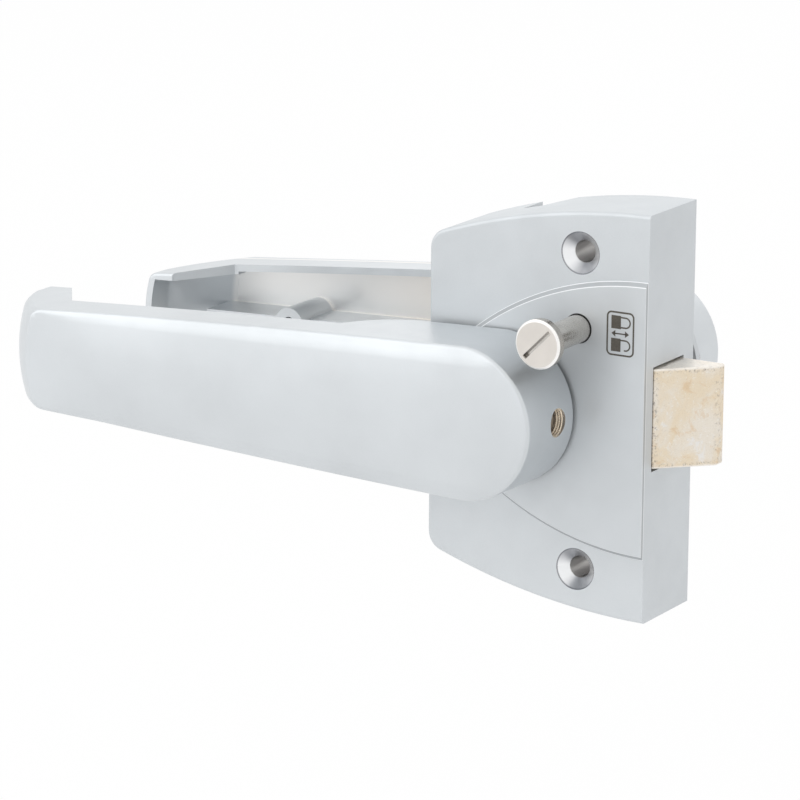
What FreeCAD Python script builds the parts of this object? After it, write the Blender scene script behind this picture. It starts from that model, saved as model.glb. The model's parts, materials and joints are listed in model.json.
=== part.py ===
import FreeCAD, Part
import math
import os

import Sketcher
from FreeCAD import Placement, Rotation, Vector

# Lever door lock: a surface-mounted latch case with a lever handle on each side of the door leaf.
#
# Frame, in millimetres: the origin is midway between the two fixing-screw holes, on the plane where the
# case lies against the door.  +X points to the latch bolt, +Y goes through the door to the outside,
# +Z is up.  The levers turn about a line along Y, and a pressed lever moves its grip downwards.

doc = FreeCAD.newDocument("lever_door_lock")
sheet = doc.addObject("Spreadsheet::Sheet", "sizes")

SIZES = [
    # Latch case.
    ("case_width", 60),
    ("case_depth", 23.5),
    ("case_height", 100),
    ("case_end_arc", 170),
    ("case_corner", 5),
    ("case_wall", 2.5),
    ("case_edge_round", 0.9),
    ("field_rise", 1.5),
    ("field_half_height", 34),
    ("field_far_half_height", 4),
    ("field_bevel", 1.2),
    ("screw_to_bolt_side", 18.5),
    ("screw_spacing", 78),
    ("screw_hole", 5.5),
    ("screw_sink", 10.4),
    ("screw_tube", 13),
    ("notch_left", 4.5),
    ("notch_floor", 5),
    ("notch_ramp", 10),
    ("notch_depth", 9.5),
    # Spindle, hub and bushes.
    ("axis_share", 0.375),
    ("axis_drop", 0.5),
    ("spindle_square", 8),
    ("hub_play", 0.1),
    ("running_play", 0.05),
    ("hub_barrel", 14),
    ("hub_collar", 18),
    ("hub_flange", 1.9),
    ("cam_reach", 17.5),
    ("cam_lean", 20),
    ("cam_neck", 3.2),
    ("cam_nose", 5),
    ("spring_arm_reach", 13.5),
    ("horn_length", 10),
    ("bush_sleeve", 18),
    ("bush_flange", 26),
    ("inner_bush_flange", 22),
    ("bush_flange_thick", 0.8),
    ("fit_gap", 0.02),
    # Back plate.
    ("plate_thick", 1.2),
    ("plate_gap", 0.5),
    ("plate_height", 64),
    ("plate_corner", 4),
    ("plate_screw", 3),
    ("plate_screw_head", 5.2),
    ("plate_screw_length", 8),
    ("plate_screw_half_gap", 16),
    ("plate_screw_half_height", 28),
    # Latch bolt, its spring and the retractor slide.
    ("bolt_height", 24.5),
    ("bolt_depth", 14.4),
    ("bolt_back", 5.5),
    ("bolt_reach", 11.5),
    ("bolt_tip_flat", 3),
    ("bolt_inside", 6),
    ("bolt_slot_gap", 0.6),
    ("bolt_edge", 0.6),
    ("lever_pull", 12),
    ("push_in", 12),
    ("tail_height", 3.6),
    ("tail_depth", 5),
    ("hook_rise", 3.8),
    ("hook_thick", 2.5),
    ("contact_gap", 0.15),
    ("slide_gap", 0.45),
    ("slide_sheet", 1.6),
    ("slide_bar", 4),
    ("slide_arm_height", 7.8),
    ("slide_arm_width", 8),
    ("rail_reach", 7.5),
    ("rail_width", 6),
    ("rail_height", 2.4),
    ("lock_lug_width", 2.5),
    ("lock_lug_height", 11.3),
    ("bolt_spring_outer", 4.4),
    ("bolt_spring_wire", 0.5),
    ("bolt_spring_turns", 11),
    ("bolt_spring_drop", 9),
    ("bolt_spring_bore_depth", 10),
    ("bolt_spring_stop_thick", 2),
    # Return spring of the levers.
    ("return_spring_outer", 9),
    ("return_spring_wire", 1.3),
    ("return_spring_turns", 8),
    ("return_spring_length", 31),
    ("spring_seat_thick", 2),
    # Locking pin.
    ("pin_x", 0.5),
    ("pin_z", 21),
    ("pin_shank", 6.8),
    ("pin_bore", 7.2),
    ("pin_head", 12),
    ("pin_head_thick", 2.8),
    ("pin_head_stand", 17.2),
    ("pin_travel", 12),
    ("pin_inner_end", 15.5),
    ("pin_slot_length", 9.5),
    ("pin_slot_width", 1.1),
    ("pin_slot_depth", 1.5),
    ("pin_guide", 11.4),
    ("pin_guide_end", 17),
    ("pin_key_width", 2.2),
    ("pin_key_depth", 1.1),
    ("pin_ring_wire", 1.2),
    # Levers.
    ("lever_gap", 1),
    ("lever_head", 38.2),
    ("lever_depth", 22.2),
    ("lever_reach", 139.6),
    ("lever_tip_half", 12),
    ("lever_side_arc", 4000),
    ("lever_tip_corner", 2.6),
    ("lever_return_round", 0.8),
    ("lever_draft", 0.4),
    ("lever_rim", 10),
    ("lever_rim_start", 3),
    ("lever_rim_sweep", 21),
    ("lever_return", 4.5),
    ("lever_return_thick", 9.6),
    ("lever_return_slant", 10.2),
    ("lever_tip_radius", 34),
    ("lever_tip_front", 14),
    ("lever_tip_curve", 41),
    ("lever_tip_straight", 1.4),
    ("lever_tip_wall", 2.2),
    ("lever_front_round", 0.8),
    ("lever_wall", 2),
    ("lever_floor", 2.8),
    ("trough_start", 24),
    ("trough_end_gap", 21),
    ("trough_round", 4.5),
    ("trough_floor_round", 1),
    ("rib_thick", 2),
    ("rib_start", 60),
    ("rib_edge", 7),
    ("rib_end_gap", 12.4),
    ("stud_from_tip", 40.6),
    ("stud_outer", 8.6),
    ("stud_bore", 3.8),
    ("stud_end", 3.5),
    ("stud_bore_depth", 8),
    ("socket_play", 0.2),
    ("socket_depth", 17.5),
    ("head_core_inner", 19),
    ("head_core_outer", 31),
    ("head_core_depth", 16),
    ("head_core_web", 11),
    ("grub_place", 7.2),
    ("grub_thread", 6),
    ("grub_gap", 0.35),
    ("grub_length", 12),
    ("grub_mouth", 7),
    ("grub_mouth_depth", 4),
    ("grub_hex", 3),
    ("grub_hex_depth", 3.5),
    ("rear_lever_sag", 2.3),
    # Outside rose.
    ("door_leaf", 26),
    ("rose_diameter", 51),
    ("rose_thick", 2.5),
    ("rose_sheet", 1),
    ("rose_rim", 1.4),
    ("rose_round", 0.7),
    ("rose_hub", 24),
    ("rose_bush_bore", 11.8),
    ("rose_screw_spacing", 29),
    ("rose_screw_hole", 4.2),
    ("rose_screw_sink", 8),
    ("rose_screw_boss", 10),
]

for row, (alias, value) in enumerate(SIZES, start=1):
    sheet.set("A%d" % row, alias.replace("_", " "))
    sheet.set("B%d" % row, str(value))
    sheet.setAlias("B%d" % row, alias)
doc.recompute()


class Dim:
    """A length with its value and the spreadsheet expression that it comes from."""

    def __init__(self, value, text):
        self.value = float(value)
        self.text = text

    def __add__(self, other):
        other = dim(other)
        return Dim(self.value + other.value, "(%s + %s)" % (self.text, other.text))

    def __sub__(self, other):
        other = dim(other)
        return Dim(self.value - other.value, "(%s - %s)" % (self.text, other.text))

    def __mul__(self, other):
        other = dim(other)
        return Dim(self.value * other.value, "(%s * %s)" % (self.text, other.text))

    def __truediv__(self, other):
        other = dim(other)
        return Dim(self.value / other.value, "(%s / %s)" % (self.text, other.text))

    def __neg__(self):
        return Dim(-self.value, "(0 - %s)" % self.text)

    def __radd__(self, other):
        return dim(other) + self

    def __rsub__(self, other):
        return dim(other) - self

    def __rmul__(self, other):
        return dim(other) * self


def dim(value):
    """A Dim from a number, a Dim, or the alias of a cell of the sheet."""
    if isinstance(value, Dim):
        return value
    if isinstance(value, str):
        return Dim(sheet.get(value), "sizes." + value)
    return Dim(value, repr(float(value)))


def root(value):
    return Dim(math.sqrt(value.value), "sqrt(%s)" % value.text)


def sine(angle):
    return Dim(math.sin(math.radians(angle.value)), "sin(%s)" % angle.text)


def cosine(angle):
    return Dim(math.cos(math.radians(angle.value)), "cos(%s)" % angle.text)


def bind(thing, path, value):
    """Sets a property of a document object from a Dim by an expression."""
    thing.setExpression(path, dim(value).text)


def make_body(name, x=0, y=0, z=0):
    body = doc.addObject("PartDesign::Body", name)
    body.Label = name
    for axis, value in (("x", x), ("y", y), ("z", z)):
        bind(body, "Placement.Base." + axis, value)
    return body


def add_sketch(body, name, role, offset=0, shift_x=0, shift_y=0):
    """A sketch on one of the body's origin planes, moved along the plane's normal by offset."""
    sketch = body.newObject("Sketcher::SketchObject", body.Name + "_" + name)
    plane = [feature for feature in body.Origin.OriginFeatures if feature.Role == role][0]
    sketch.AttachmentSupport = [(plane, "")]
    sketch.MapMode = "FlatFace"
    for axis, value in (("x", shift_x), ("y", shift_y), ("z", offset)):
        bind(sketch, "AttachmentOffset.Base." + axis, value)
    return sketch


def lock_point(sketch, curve, end, x, y):
    """Ties a point of a sketch to a place measured from the sketch's origin."""
    for kind, value in (("DistanceX", dim(x)), ("DistanceY", dim(y))):
        index = sketch.addConstraint(Sketcher.Constraint(kind, curve, end, value.value))
        sketch.setExpression("Constraints[%d]" % index, value.text)


def add_circle(sketch, x, y, radius):
    x, y, radius = dim(x), dim(y), dim(radius)
    centre = Vector(x.value, y.value, 0)
    curve = sketch.addGeometry(Part.Circle(centre, Vector(0, 0, 1), radius.value))
    lock_point(sketch, curve, 3, x, y)
    index = sketch.addConstraint(Sketcher.Constraint("Radius", curve, radius.value))
    sketch.setExpression("Constraints[%d]" % index, radius.text)


def arc_centre(start, end, radius, left):
    """Centre of the short arc between two points, on the left or right of the way from start to end."""
    middle = (start + end) * 0.5
    chord = end - start
    height = math.sqrt(max(radius ** 2 - (chord.Length / 2) ** 2, 0))
    side = Vector(-chord.y, chord.x, 0).normalize()
    return middle + side * (height if left else -height)


def add_outline(sketch, corners):
    """A closed outline.  A corner is (x, y) or (x, y, radius, left): then an arc runs on to the next
    corner, with its centre on the left or on the right of the way there."""
    points = [Vector(dim(c[0]).value, dim(c[1]).value, 0) for c in corners]
    ends = []
    for index, corner in enumerate(corners):
        start, end = points[index], points[(index + 1) % len(points)]
        if len(corner) == 2:
            curve = sketch.addGeometry(Part.LineSegment(start, end))
            ends.append((curve, 1, 2))
            continue
        radius, left = dim(corner[2]), corner[3]
        centre = arc_centre(start, end, radius.value, left)
        first, last = (start, end) if left else (end, start)
        from_angle = math.atan2(first.y - centre.y, first.x - centre.x)
        to_angle = math.atan2(last.y - centre.y, last.x - centre.x)
        circle = Part.Circle(centre, Vector(0, 0, 1), radius.value)
        curve = sketch.addGeometry(Part.ArcOfCircle(circle, from_angle, to_angle))
        ends.append((curve, 1, 2) if left else (curve, 2, 1))
        place = sketch.addConstraint(Sketcher.Constraint("Radius", curve, radius.value))
        sketch.setExpression("Constraints[%d]" % place, radius.text)
    for index, (curve, start, end) in enumerate(ends):
        following, next_start, unused = ends[(index + 1) % len(ends)]
        sketch.addConstraint(Sketcher.Constraint("Coincident", curve, end, following, next_start))
        lock_point(sketch, curve, start, corners[index][0], corners[index][1])


def add_open_arc(sketch, start, end, radius):
    """One arc from start to end, with its centre on the left of the way."""
    radius = dim(radius)
    first = Vector(dim(start[0]).value, dim(start[1]).value, 0)
    last = Vector(dim(end[0]).value, dim(end[1]).value, 0)
    centre = arc_centre(first, last, radius.value, True)
    circle = Part.Circle(centre, Vector(0, 0, 1), radius.value)
    from_angle = math.atan2(first.y - centre.y, first.x - centre.x)
    to_angle = math.atan2(last.y - centre.y, last.x - centre.x)
    curve = sketch.addGeometry(Part.ArcOfCircle(circle, from_angle, to_angle))
    lock_point(sketch, curve, 1, start[0], start[1])
    lock_point(sketch, curve, 2, end[0], end[1])
    index = sketch.addConstraint(Sketcher.Constraint("Radius", curve, radius.value))
    sketch.setExpression("Constraints[%d]" % index, radius.text)


def add_rectangle(sketch, x0, x1, y0, y1):
    add_outline(sketch, [(x0, y0), (x1, y0), (x1, y1), (x0, y1)])


def add_feature(body, kind, name, sketch, length=None, both_ways=False, backwards=False, through=False):
    feature = body.newObject("PartDesign::" + kind, body.Name + "_" + name)
    feature.Profile = sketch
    if length is not None:
        bind(feature, "Length", length)
    if through:
        feature.Type = "ThroughAll"
    feature.Midplane = both_ways
    feature.Reversed = backwards
    sketch.Visibility = False
    return feature


def add_turning(body, kind, name, sketch, angle=360, both_ways=False):
    feature = body.newObject("PartDesign::" + kind, body.Name + "_" + name)
    feature.Profile = sketch
    feature.ReferenceAxis = (sketch, ["V_Axis"])
    feature.Angle = angle
    feature.Midplane = both_ways
    return feature


def edges_where(feature, test):
    """Names of the edges of a finished feature that pass a test on their bounding box."""
    doc.recompute()
    edges = feature.Shape.Edges
    return ["Edge%d" % (place + 1) for place, edge in enumerate(edges) if test(edge)]


def add_dressing(body, kind, name, base, test, size):
    """A Fillet or Chamfer on the edges of the base that pass the test."""
    names = edges_where(base, test)
    if not names:
        raise RuntimeError("no edges for " + name)
    feature = body.newObject("PartDesign::" + kind, body.Name + "_" + name)
    feature.Base = (base, names)
    bind(feature, "Radius" if kind == "Fillet" else "Size", size)
    doc.recompute()
    return feature


# Places that several pieces share.
bolt_side = dim("screw_to_bolt_side")
far_side = bolt_side - dim("case_width")
axis_x = far_side + dim("axis_share") * dim("case_width")
axis_z = -dim("axis_drop")
case_front = -dim("case_depth")
field_front = case_front - dim("field_rise")
case_floor = case_front + dim("case_wall")
bush_seat = field_front + dim("case_wall")
plate_inner = -dim("plate_thick")
bolt_back = -dim("bolt_back")
bolt_front = bolt_back - dim("bolt_depth")
bolt_middle = (bolt_front + bolt_back) / 2
bolt_inner = bolt_side - dim("bolt_inside")
bolt_half = dim("bolt_height") / 2
tail_length = dim("lever_pull") + dim("push_in") + 0.5
hook_left = bolt_inner - tail_length
hook_right = hook_left + dim("hook_thick")
tail_bottom = bolt_half - dim("tail_height")
tail_back = bolt_middle + dim("tail_depth") / 2
tail_front = bolt_middle - dim("tail_depth") / 2
slide_front = tail_back + 0.5
slide_back = slide_front + dim("slide_sheet")
slide_bottom = bolt_half + dim("slide_gap")
slide_top = slide_bottom + dim("slide_bar")
flange_back = plate_inner - dim("bush_flange_thick") - 0.15
flange_front = flange_back - dim("hub_flange")
cam_x = axis_x + dim("cam_reach") * sine(dim("cam_lean"))
cam_z = axis_z + dim("cam_reach") * cosine(dim("cam_lean"))
cam_tip_left = cam_x - dim("cam_nose") / 2
slide_face = cam_tip_left - dim("contact_gap")
pin_right = dim("pin_x") + dim("pin_shank") / 2
spring_x = axis_x - dim("spring_arm_reach") * cosine(dim("cam_lean"))
spring_y = flange_front - dim("horn_length") / 2 - 1
horn_top_z = axis_z + dim("spring_arm_reach") * sine(dim("cam_lean"))
spring_top = horn_top_z - dim("cam_nose") / 2 - dim("contact_gap")
spring_bottom = spring_top - dim("return_spring_length")
front_lever_face = field_front - dim("lever_gap")
rose_back = dim("door_leaf")
rose_front = rose_back + dim("rose_thick")
rear_lever_face = rose_front + dim("lever_gap")


def case_outline(sketch, inset=0):
    """The D-shaped outline of the case, or a line inside it by the inset."""
    arc = dim("case_end_arc") - inset
    centre_z = dim("case_height") / 2 - dim("case_end_arc")
    right = bolt_side - inset
    left = far_side + inset
    right_z = centre_z + root(arc * arc - dim(inset) * inset)
    left_z = centre_z + root(arc * arc - (bolt_side - left) * (bolt_side - left))
    add_outline(sketch, [
        (right, -right_z),
        (right, right_z, arc, True),
        (left, left_z),
        (left, -left_z, arc, True),
    ])


def make_case():
    body = make_body("case_shell")
    sketch = add_sketch(body, "outline", "XZ_Plane")
    case_outline(sketch)
    block = add_feature(body, "Pad", "block", sketch, dim("case_depth"))
    add_dressing(body, "Fillet", "corners", block, lambda e: (
        e.BoundBox.XMax < far_side.value + 0.01 and e.BoundBox.YLength > 1), dim("case_corner"))

    # Raised field between two arcs, with a sloped step down to the end fields.
    sketch = add_sketch(body, "field", "XZ_Plane", dim("case_depth"))
    side = dim("field_half_height")
    far = dim("field_far_half_height")
    arc = (dim("case_width") * dim("case_width") + (side - far) * (side - far)) / (side - far) / 2
    add_outline(sketch, [
        (bolt_side, -side),
        (bolt_side, side, arc, True),
        (far_side, far),
        (far_side, -far, arc, True),
    ])
    field = add_feature(body, "Pad", "field", sketch, dim("field_rise"))
    bevel = add_dressing(body, "Chamfer", "bevel", field, lambda e: (
        e.BoundBox.YMax < field_front.value + 0.01 and e.BoundBox.XLength > 5), dim("field_bevel"))
    add_dressing(body, "Fillet", "edge_round", bevel, lambda e: (
        e.BoundBox.YMax < case_front.value + 0.01 and e.BoundBox.YLength < 0.01
        and (e.BoundBox.ZMin > dim("field_half_height").value + 0.5
             or e.BoundBox.ZMax < -dim("field_half_height").value - 0.5)
        and e.BoundBox.XLength > dim("case_width").value / 2), dim("case_edge_round"))

    # The hollow, open to the door.
    sketch = add_sketch(body, "hollow", "XZ_Plane")
    case_outline(sketch, dim("case_wall"))
    add_feature(body, "Pocket", "hollow", sketch, -case_floor, backwards=True)

    # Tubes for the fixing screws, bosses for the plate screws and the guide of the locking pin.
    sketch = add_sketch(body, "tubes", "XZ_Plane")
    for sign in (1, -1):
        add_circle(sketch, 0, sign * dim("screw_spacing") / 2, dim("screw_tube") / 2)
    add_feature(body, "Pad", "tubes", sketch, dim("case_depth") - 1)
    sketch = add_sketch(body, "bosses", "XZ_Plane", dim("plate_thick"))
    for x, z in plate_screw_places():
        add_circle(sketch, x, z, dim("plate_screw"))
    add_feature(body, "Pad", "bosses", sketch, dim("case_depth") - dim("plate_thick") - 1)
    sketch = add_sketch(body, "pin_guide", "XZ_Plane", dim("pin_guide_end"))
    add_circle(sketch, dim("pin_x"), dim("pin_z"), dim("pin_guide") / 2)
    add_feature(body, "Pad", "pin_guide", sketch, dim("case_depth") - dim("pin_guide_end") - 1)

    # Ribs that guide the bolt and the slide, the stop of the bolt spring and the seat of the return spring.
    ribs = [
        ("upper_guide", -bolt_back + 2, bolt_inner - 5, bolt_side - 2, bolt_half + 0.4, bolt_half + 2.4),
        ("lower_guide", -bolt_back + 2, bolt_inner - 5, bolt_side - 2, -bolt_half - 2.4, -bolt_half - 0.4),
        ("slide_guide", -slide_back - 0.5, slide_face + 1.7, hook_right + 1, slide_top + 0.3, slide_top + 2.3),
        ("bolt_spring_stop", -bolt_back + 1, hook_left - dim("bolt_spring_stop_thick"), hook_left,
         -bolt_half, axis_z - dim("hub_barrel") / 2 - 0.4),
        ("return_spring_seat", -flange_front + 1, spring_x - 6, spring_x + 6,
         spring_bottom - dim("spring_seat_thick"), spring_bottom),
    ]
    for name, start, x0, x1, z0, z1 in ribs:
        sketch = add_sketch(body, name, "XZ_Plane", start)
        add_rectangle(sketch, x0, x1, z0, z1)
        add_feature(body, "Pad", name, sketch, dim("case_depth") - start - 1)

    # Openings: bush, locking pin, bolt, screws, and the notch in the top wall.
    sketch = add_sketch(body, "bush_relief", "XZ_Plane", -bush_seat)
    add_circle(sketch, axis_x, axis_z, dim("hub_collar") / 2 + 1)
    add_feature(body, "Pocket", "bush_relief", sketch, dim("case_wall"))
    sketch = add_sketch(body, "bush_hole", "XZ_Plane", -field_front)
    add_circle(sketch, axis_x, axis_z, dim("bush_sleeve") / 2)
    add_feature(body, "Pocket", "bush_hole", sketch, dim("case_wall") + 1)
    sketch = add_sketch(body, "pin_bore", "XZ_Plane", -field_front)
    add_circle(sketch, dim("pin_x"), dim("pin_z"), dim("pin_bore") / 2)
    add_feature(body, "Pocket", "pin_bore", sketch, dim("case_depth"))
    sketch = add_sketch(body, "bolt_slot", "YZ_Plane", bolt_side)
    gap = dim("bolt_slot_gap")
    add_rectangle(sketch, bolt_front - gap, bolt_back + gap, -bolt_half - gap, bolt_half + gap)
    add_feature(body, "Pocket", "bolt_slot", sketch, dim("case_wall") + 1)
    sketch = add_sketch(body, "notch", "XY_Plane")
    left = axis_x - dim("notch_left")
    add_outline(sketch, [
        (left, 1),
        (left, -dim("notch_depth")),
        (left + dim("notch_floor"), -dim("notch_depth")),
        (left + dim("notch_ramp"), 0),
        (left + dim("notch_ramp"), 1),
    ])
    add_feature(body, "Pocket", "notch", sketch, dim("case_height"), backwards=True)
    doc.recompute()

    sketch = add_sketch(body, "screw_holes", "XZ_Plane", dim("case_depth"))
    for sign in (1, -1):
        add_circle(sketch, 0, sign * dim("screw_spacing") / 2, dim("screw_hole") / 2)
    doc.recompute()
    hole = body.newObject("PartDesign::Hole", "case_screw_holes")
    hole.Profile = sketch
    hole.Threaded = False
    hole.DepthType = "ThroughAll"
    hole.HoleCutType = "Countersink"
    hole.HoleCutCustomValues = True
    bind(hole, "Diameter", dim("screw_hole"))
    bind(hole, "HoleCutDiameter", dim("screw_sink"))
    hole.HoleCutCountersinkAngle = 90
    sketch.Visibility = False
    doc.recompute()

    sketch = add_sketch(body, "boss_holes", "XZ_Plane")
    for x, z in plate_screw_places():
        add_circle(sketch, x, z, dim("plate_screw") / 2)
    add_feature(body, "Pocket", "boss_holes", sketch, dim("plate_screw_length") + 1, backwards=True)

    # Groove of the friction ring, and the cross bore of the stop screw in the pin guide.
    sketch = add_sketch(body, "ring_groove", "XY_Plane", dim("pin_z"), dim("pin_x"))
    ring = dim("pin_ring_wire")
    middle = case_front
    add_rectangle(sketch, dim("pin_bore") / 2 - 0.5, dim("pin_shank") / 2 + ring + 0.05,
                  middle - ring / 2, middle + ring / 2)
    add_turning(body, "Groove", "ring_groove", sketch)
    sketch = add_sketch(body, "stop_bore", "YZ_Plane", dim("pin_x"))
    add_circle(sketch, stop_screw_y(), dim("pin_z"), stop_screw_radius())
    add_feature(body, "Pocket", "stop_bore", sketch, dim("pin_guide"), backwards=False)
    doc.recompute()
    return body


def plate_screw_places():
    """The four places of the back plate's screws, clear of the return spring on the left."""
    middle = (bolt_side + far_side) / 2 + 4.5
    half_gap = dim("plate_screw_half_gap")
    half_height = dim("plate_screw_half_height")
    return [(middle + sx * half_gap, sz * half_height) for sx in (-1, 1) for sz in (-1, 1)]


def stop_screw_radius():
    return dim("pin_key_width") / 2 - 0.1


def stop_screw_y():
    return -(dim("pin_guide_end") + 2)


def make_turned(name, x, z, profile, y=0):
    """A body turned about a line along Y: the profile lists radius and place along Y."""
    body = make_body(name, x, y, z)
    sketch = add_sketch(body, "profile", "XY_Plane")
    add_outline(sketch, profile)
    add_turning(body, "Revolution", "turned", sketch)
    doc.recompute()
    return body


def make_back_plate():
    body = make_body("back_plate")
    middle = (bolt_side + far_side) / 2
    half_width = dim("case_width") / 2 - dim("case_wall") - dim("plate_gap")
    half_height = dim("plate_height") / 2
    sketch = add_sketch(body, "sheet", "XZ_Plane")
    add_rectangle(sketch, middle - half_width, middle + half_width, -half_height, half_height)
    plate = add_feature(body, "Pad", "sheet", sketch, dim("plate_thick"))
    add_dressing(body, "Fillet", "corners", plate, lambda e: (
        e.BoundBox.XLength < 0.01 and e.BoundBox.ZLength < 0.01), dim("plate_corner"))
    sketch = add_sketch(body, "slide_rail", "XZ_Plane")
    rail = slide_bottom + 0.5
    left = dim("pin_x") - dim("rail_reach")
    add_rectangle(sketch, left, left + dim("rail_width"), rail, rail + dim("rail_height"))
    add_feature(body, "Pad", "slide_rail", sketch, -slide_back - 0.3)
    sketch = add_sketch(body, "hub_hole", "XZ_Plane")
    add_circle(sketch, axis_x, axis_z, dim("bush_sleeve") / 2)
    add_feature(body, "Pocket", "hub_hole", sketch, dim("plate_thick"), backwards=True)
    sketch = add_sketch(body, "screw_tubes", "XZ_Plane")
    for sign in (1, -1):
        add_circle(sketch, 0, sign * dim("screw_spacing") / 2, dim("screw_tube") / 2 + 0.3)
    add_feature(body, "Pocket", "tube_reliefs", sketch, dim("plate_thick"), backwards=True)
    sketch = add_sketch(body, "screw_holes", "XZ_Plane")
    for x, z in plate_screw_places():
        add_circle(sketch, x, z, dim("plate_screw") / 2 + 0.1)
    doc.recompute()
    hole = body.newObject("PartDesign::Hole", "plate_screw_holes")
    hole.Profile = sketch
    hole.Threaded = False
    hole.DepthType = "ThroughAll"
    hole.HoleCutType = "Countersink"
    hole.HoleCutCustomValues = True
    hole.Reversed = True
    bind(hole, "Diameter", dim("plate_screw") + 0.2)
    bind(hole, "HoleCutDiameter", dim("plate_screw_head") + 0.2)
    hole.HoleCutCountersinkAngle = 90
    sketch.Visibility = False
    doc.recompute()
    return body


def make_plate_screw(number, x, z):
    head = dim("plate_screw_head") / 2
    shank = dim("plate_screw") / 2 - 0.05
    body = make_turned("back_plate_screw_%d" % number, x, z, [
        (0, -dim("plate_screw_length")),
        (shank - 0.5, -dim("plate_screw_length")),
        (shank, 0.5 - dim("plate_screw_length")),
        (shank, -0.05 - (head - shank)),
        (head, -0.05),
        (0, -0.05),
    ])
    sketch = add_sketch(body, "slot", "XZ_Plane")
    add_rectangle(sketch, -head, head, -0.4, 0.4)
    add_feature(body, "Pocket", "slot", sketch, 0.7, backwards=True)
    return body


def make_bush(name, flange, bore, sleeve_start, sleeve_end, flange_end):
    """A flanged sleeve about the spindle's axis: the flange lies between sleeve_start and flange_end."""
    low = min([sleeve_end, sleeve_start, flange_end], key=lambda d: d.value)
    outwards = low is flange_end
    sleeve = dim("bush_sleeve") / 2 - dim("fit_gap")
    inner = dim(bore) / 2
    points = [(inner, flange_end), (dim(flange) / 2, flange_end), (dim(flange) / 2, sleeve_start),
              (sleeve, sleeve_start), (sleeve, sleeve_end), (inner, sleeve_end)]
    if not outwards:
        points.reverse()
    return make_turned(name, axis_x, axis_z, points)


def make_hub():
    journal = dim("hub_barrel") / 2
    collar = dim("hub_collar") / 2
    front = field_front - dim("bush_flange_thick")
    body = make_turned("hub", axis_x, axis_z, [
        (0, front),
        (journal, front),
        (journal, bush_seat + 0.1),
        (collar, bush_seat + 0.1),
        (collar, bush_seat + 1.9),
        (journal, bush_seat + 1.9),
        (journal, 0),
        (0, 0),
    ])
    lean = dim("cam_lean")
    arms = [
        ("cam", dim("cam_reach"), sine(lean), cosine(lean)),
        ("horn", dim("spring_arm_reach"), -cosine(lean), sine(lean)),
    ]
    nose = dim("cam_nose") / 2
    for name, reach, way_x, way_z in arms:
        sketch = add_sketch(body, name + "_neck", "XZ_Plane", -flange_back)
        corners = []
        for along, across in ((4, -5), (reach, 1 - nose), (reach, nose - 1), (4, 5)):
            along, across = dim(along), dim(across)
            corners.append((way_x * along - way_z * across, way_z * along + way_x * across))
        add_outline(sketch, corners)
        add_feature(body, "Pad", name + "_neck", sketch, dim("hub_flange"))
        sketch = add_sketch(body, name + "_nose", "XZ_Plane", -flange_back)
        add_circle(sketch, way_x * reach, way_z * reach, nose)
        length = dim("hub_flange") + (dim("horn_length") if name == "horn" else 0)
        add_feature(body, "Pad", name + "_nose", sketch, length)
    sketch = add_sketch(body, "square", "XZ_Plane")
    half = dim("spindle_square") / 2 + dim("hub_play")
    add_rectangle(sketch, -half, half, -half, half)
    add_feature(body, "Pocket", "square", sketch, 1 - front, backwards=True)
    return body


def make_spindle():
    body = make_body("spindle", axis_x, 0, axis_z)
    half = dim("spindle_square") / 2
    inside = dim("socket_depth") - 1
    sketch = add_sketch(body, "square", "XZ_Plane", inside - front_lever_face)
    add_rectangle(sketch, -half, half, -half, half)
    length = rear_lever_face - front_lever_face + inside * 2
    bar = add_feature(body, "Pad", "bar", sketch, length, backwards=True)
    add_dressing(body, "Chamfer", "edges", bar, lambda e: True, 0.5)
    return body


def make_retractor():
    body = make_body("retractor")
    left = slide_face - dim("slide_arm_width")
    arm_top = slide_bottom + dim("slide_arm_height")
    right = pin_right + 0.4 + dim("lock_lug_width")
    step = slide_face + 0.8
    sketch = add_sketch(body, "sheet", "XZ_Plane", -slide_back)
    add_outline(sketch, [
        (left, slide_bottom),
        (right, slide_bottom),
        (right, slide_bottom + dim("lock_lug_height")),
        (right - dim("lock_lug_width"), slide_bottom + dim("lock_lug_height")),
        (right - dim("lock_lug_width"), slide_top),
        (step, slide_top),
        (step, arm_top),
        (left, arm_top),
    ])
    plate = add_feature(body, "Pad", "sheet", sketch, dim("slide_sheet"))
    add_dressing(body, "Fillet", "corners", plate, lambda e: (
        e.BoundBox.XLength < 0.01 and e.BoundBox.ZLength < 0.01), 1)
    sheet_size = dim("slide_sheet")
    sketch = add_sketch(body, "cam_lug", "XZ_Plane", 0.8 - slide_back)
    add_rectangle(sketch, slide_face - sheet_size, slide_face, cam_z - 1, arm_top)
    add_feature(body, "Pad", "cam_lug", sketch, flange_back - slide_back + 0.8, backwards=True)
    sketch = add_sketch(body, "hook_tab", "XZ_Plane", -slide_front - 0.8)
    add_rectangle(sketch, hook_right + 0.2, hook_right + 0.2 + sheet_size, slide_bottom, slide_top)
    add_feature(body, "Pad", "hook_tab", sketch, slide_front - tail_front + 0.8)
    return body


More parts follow.
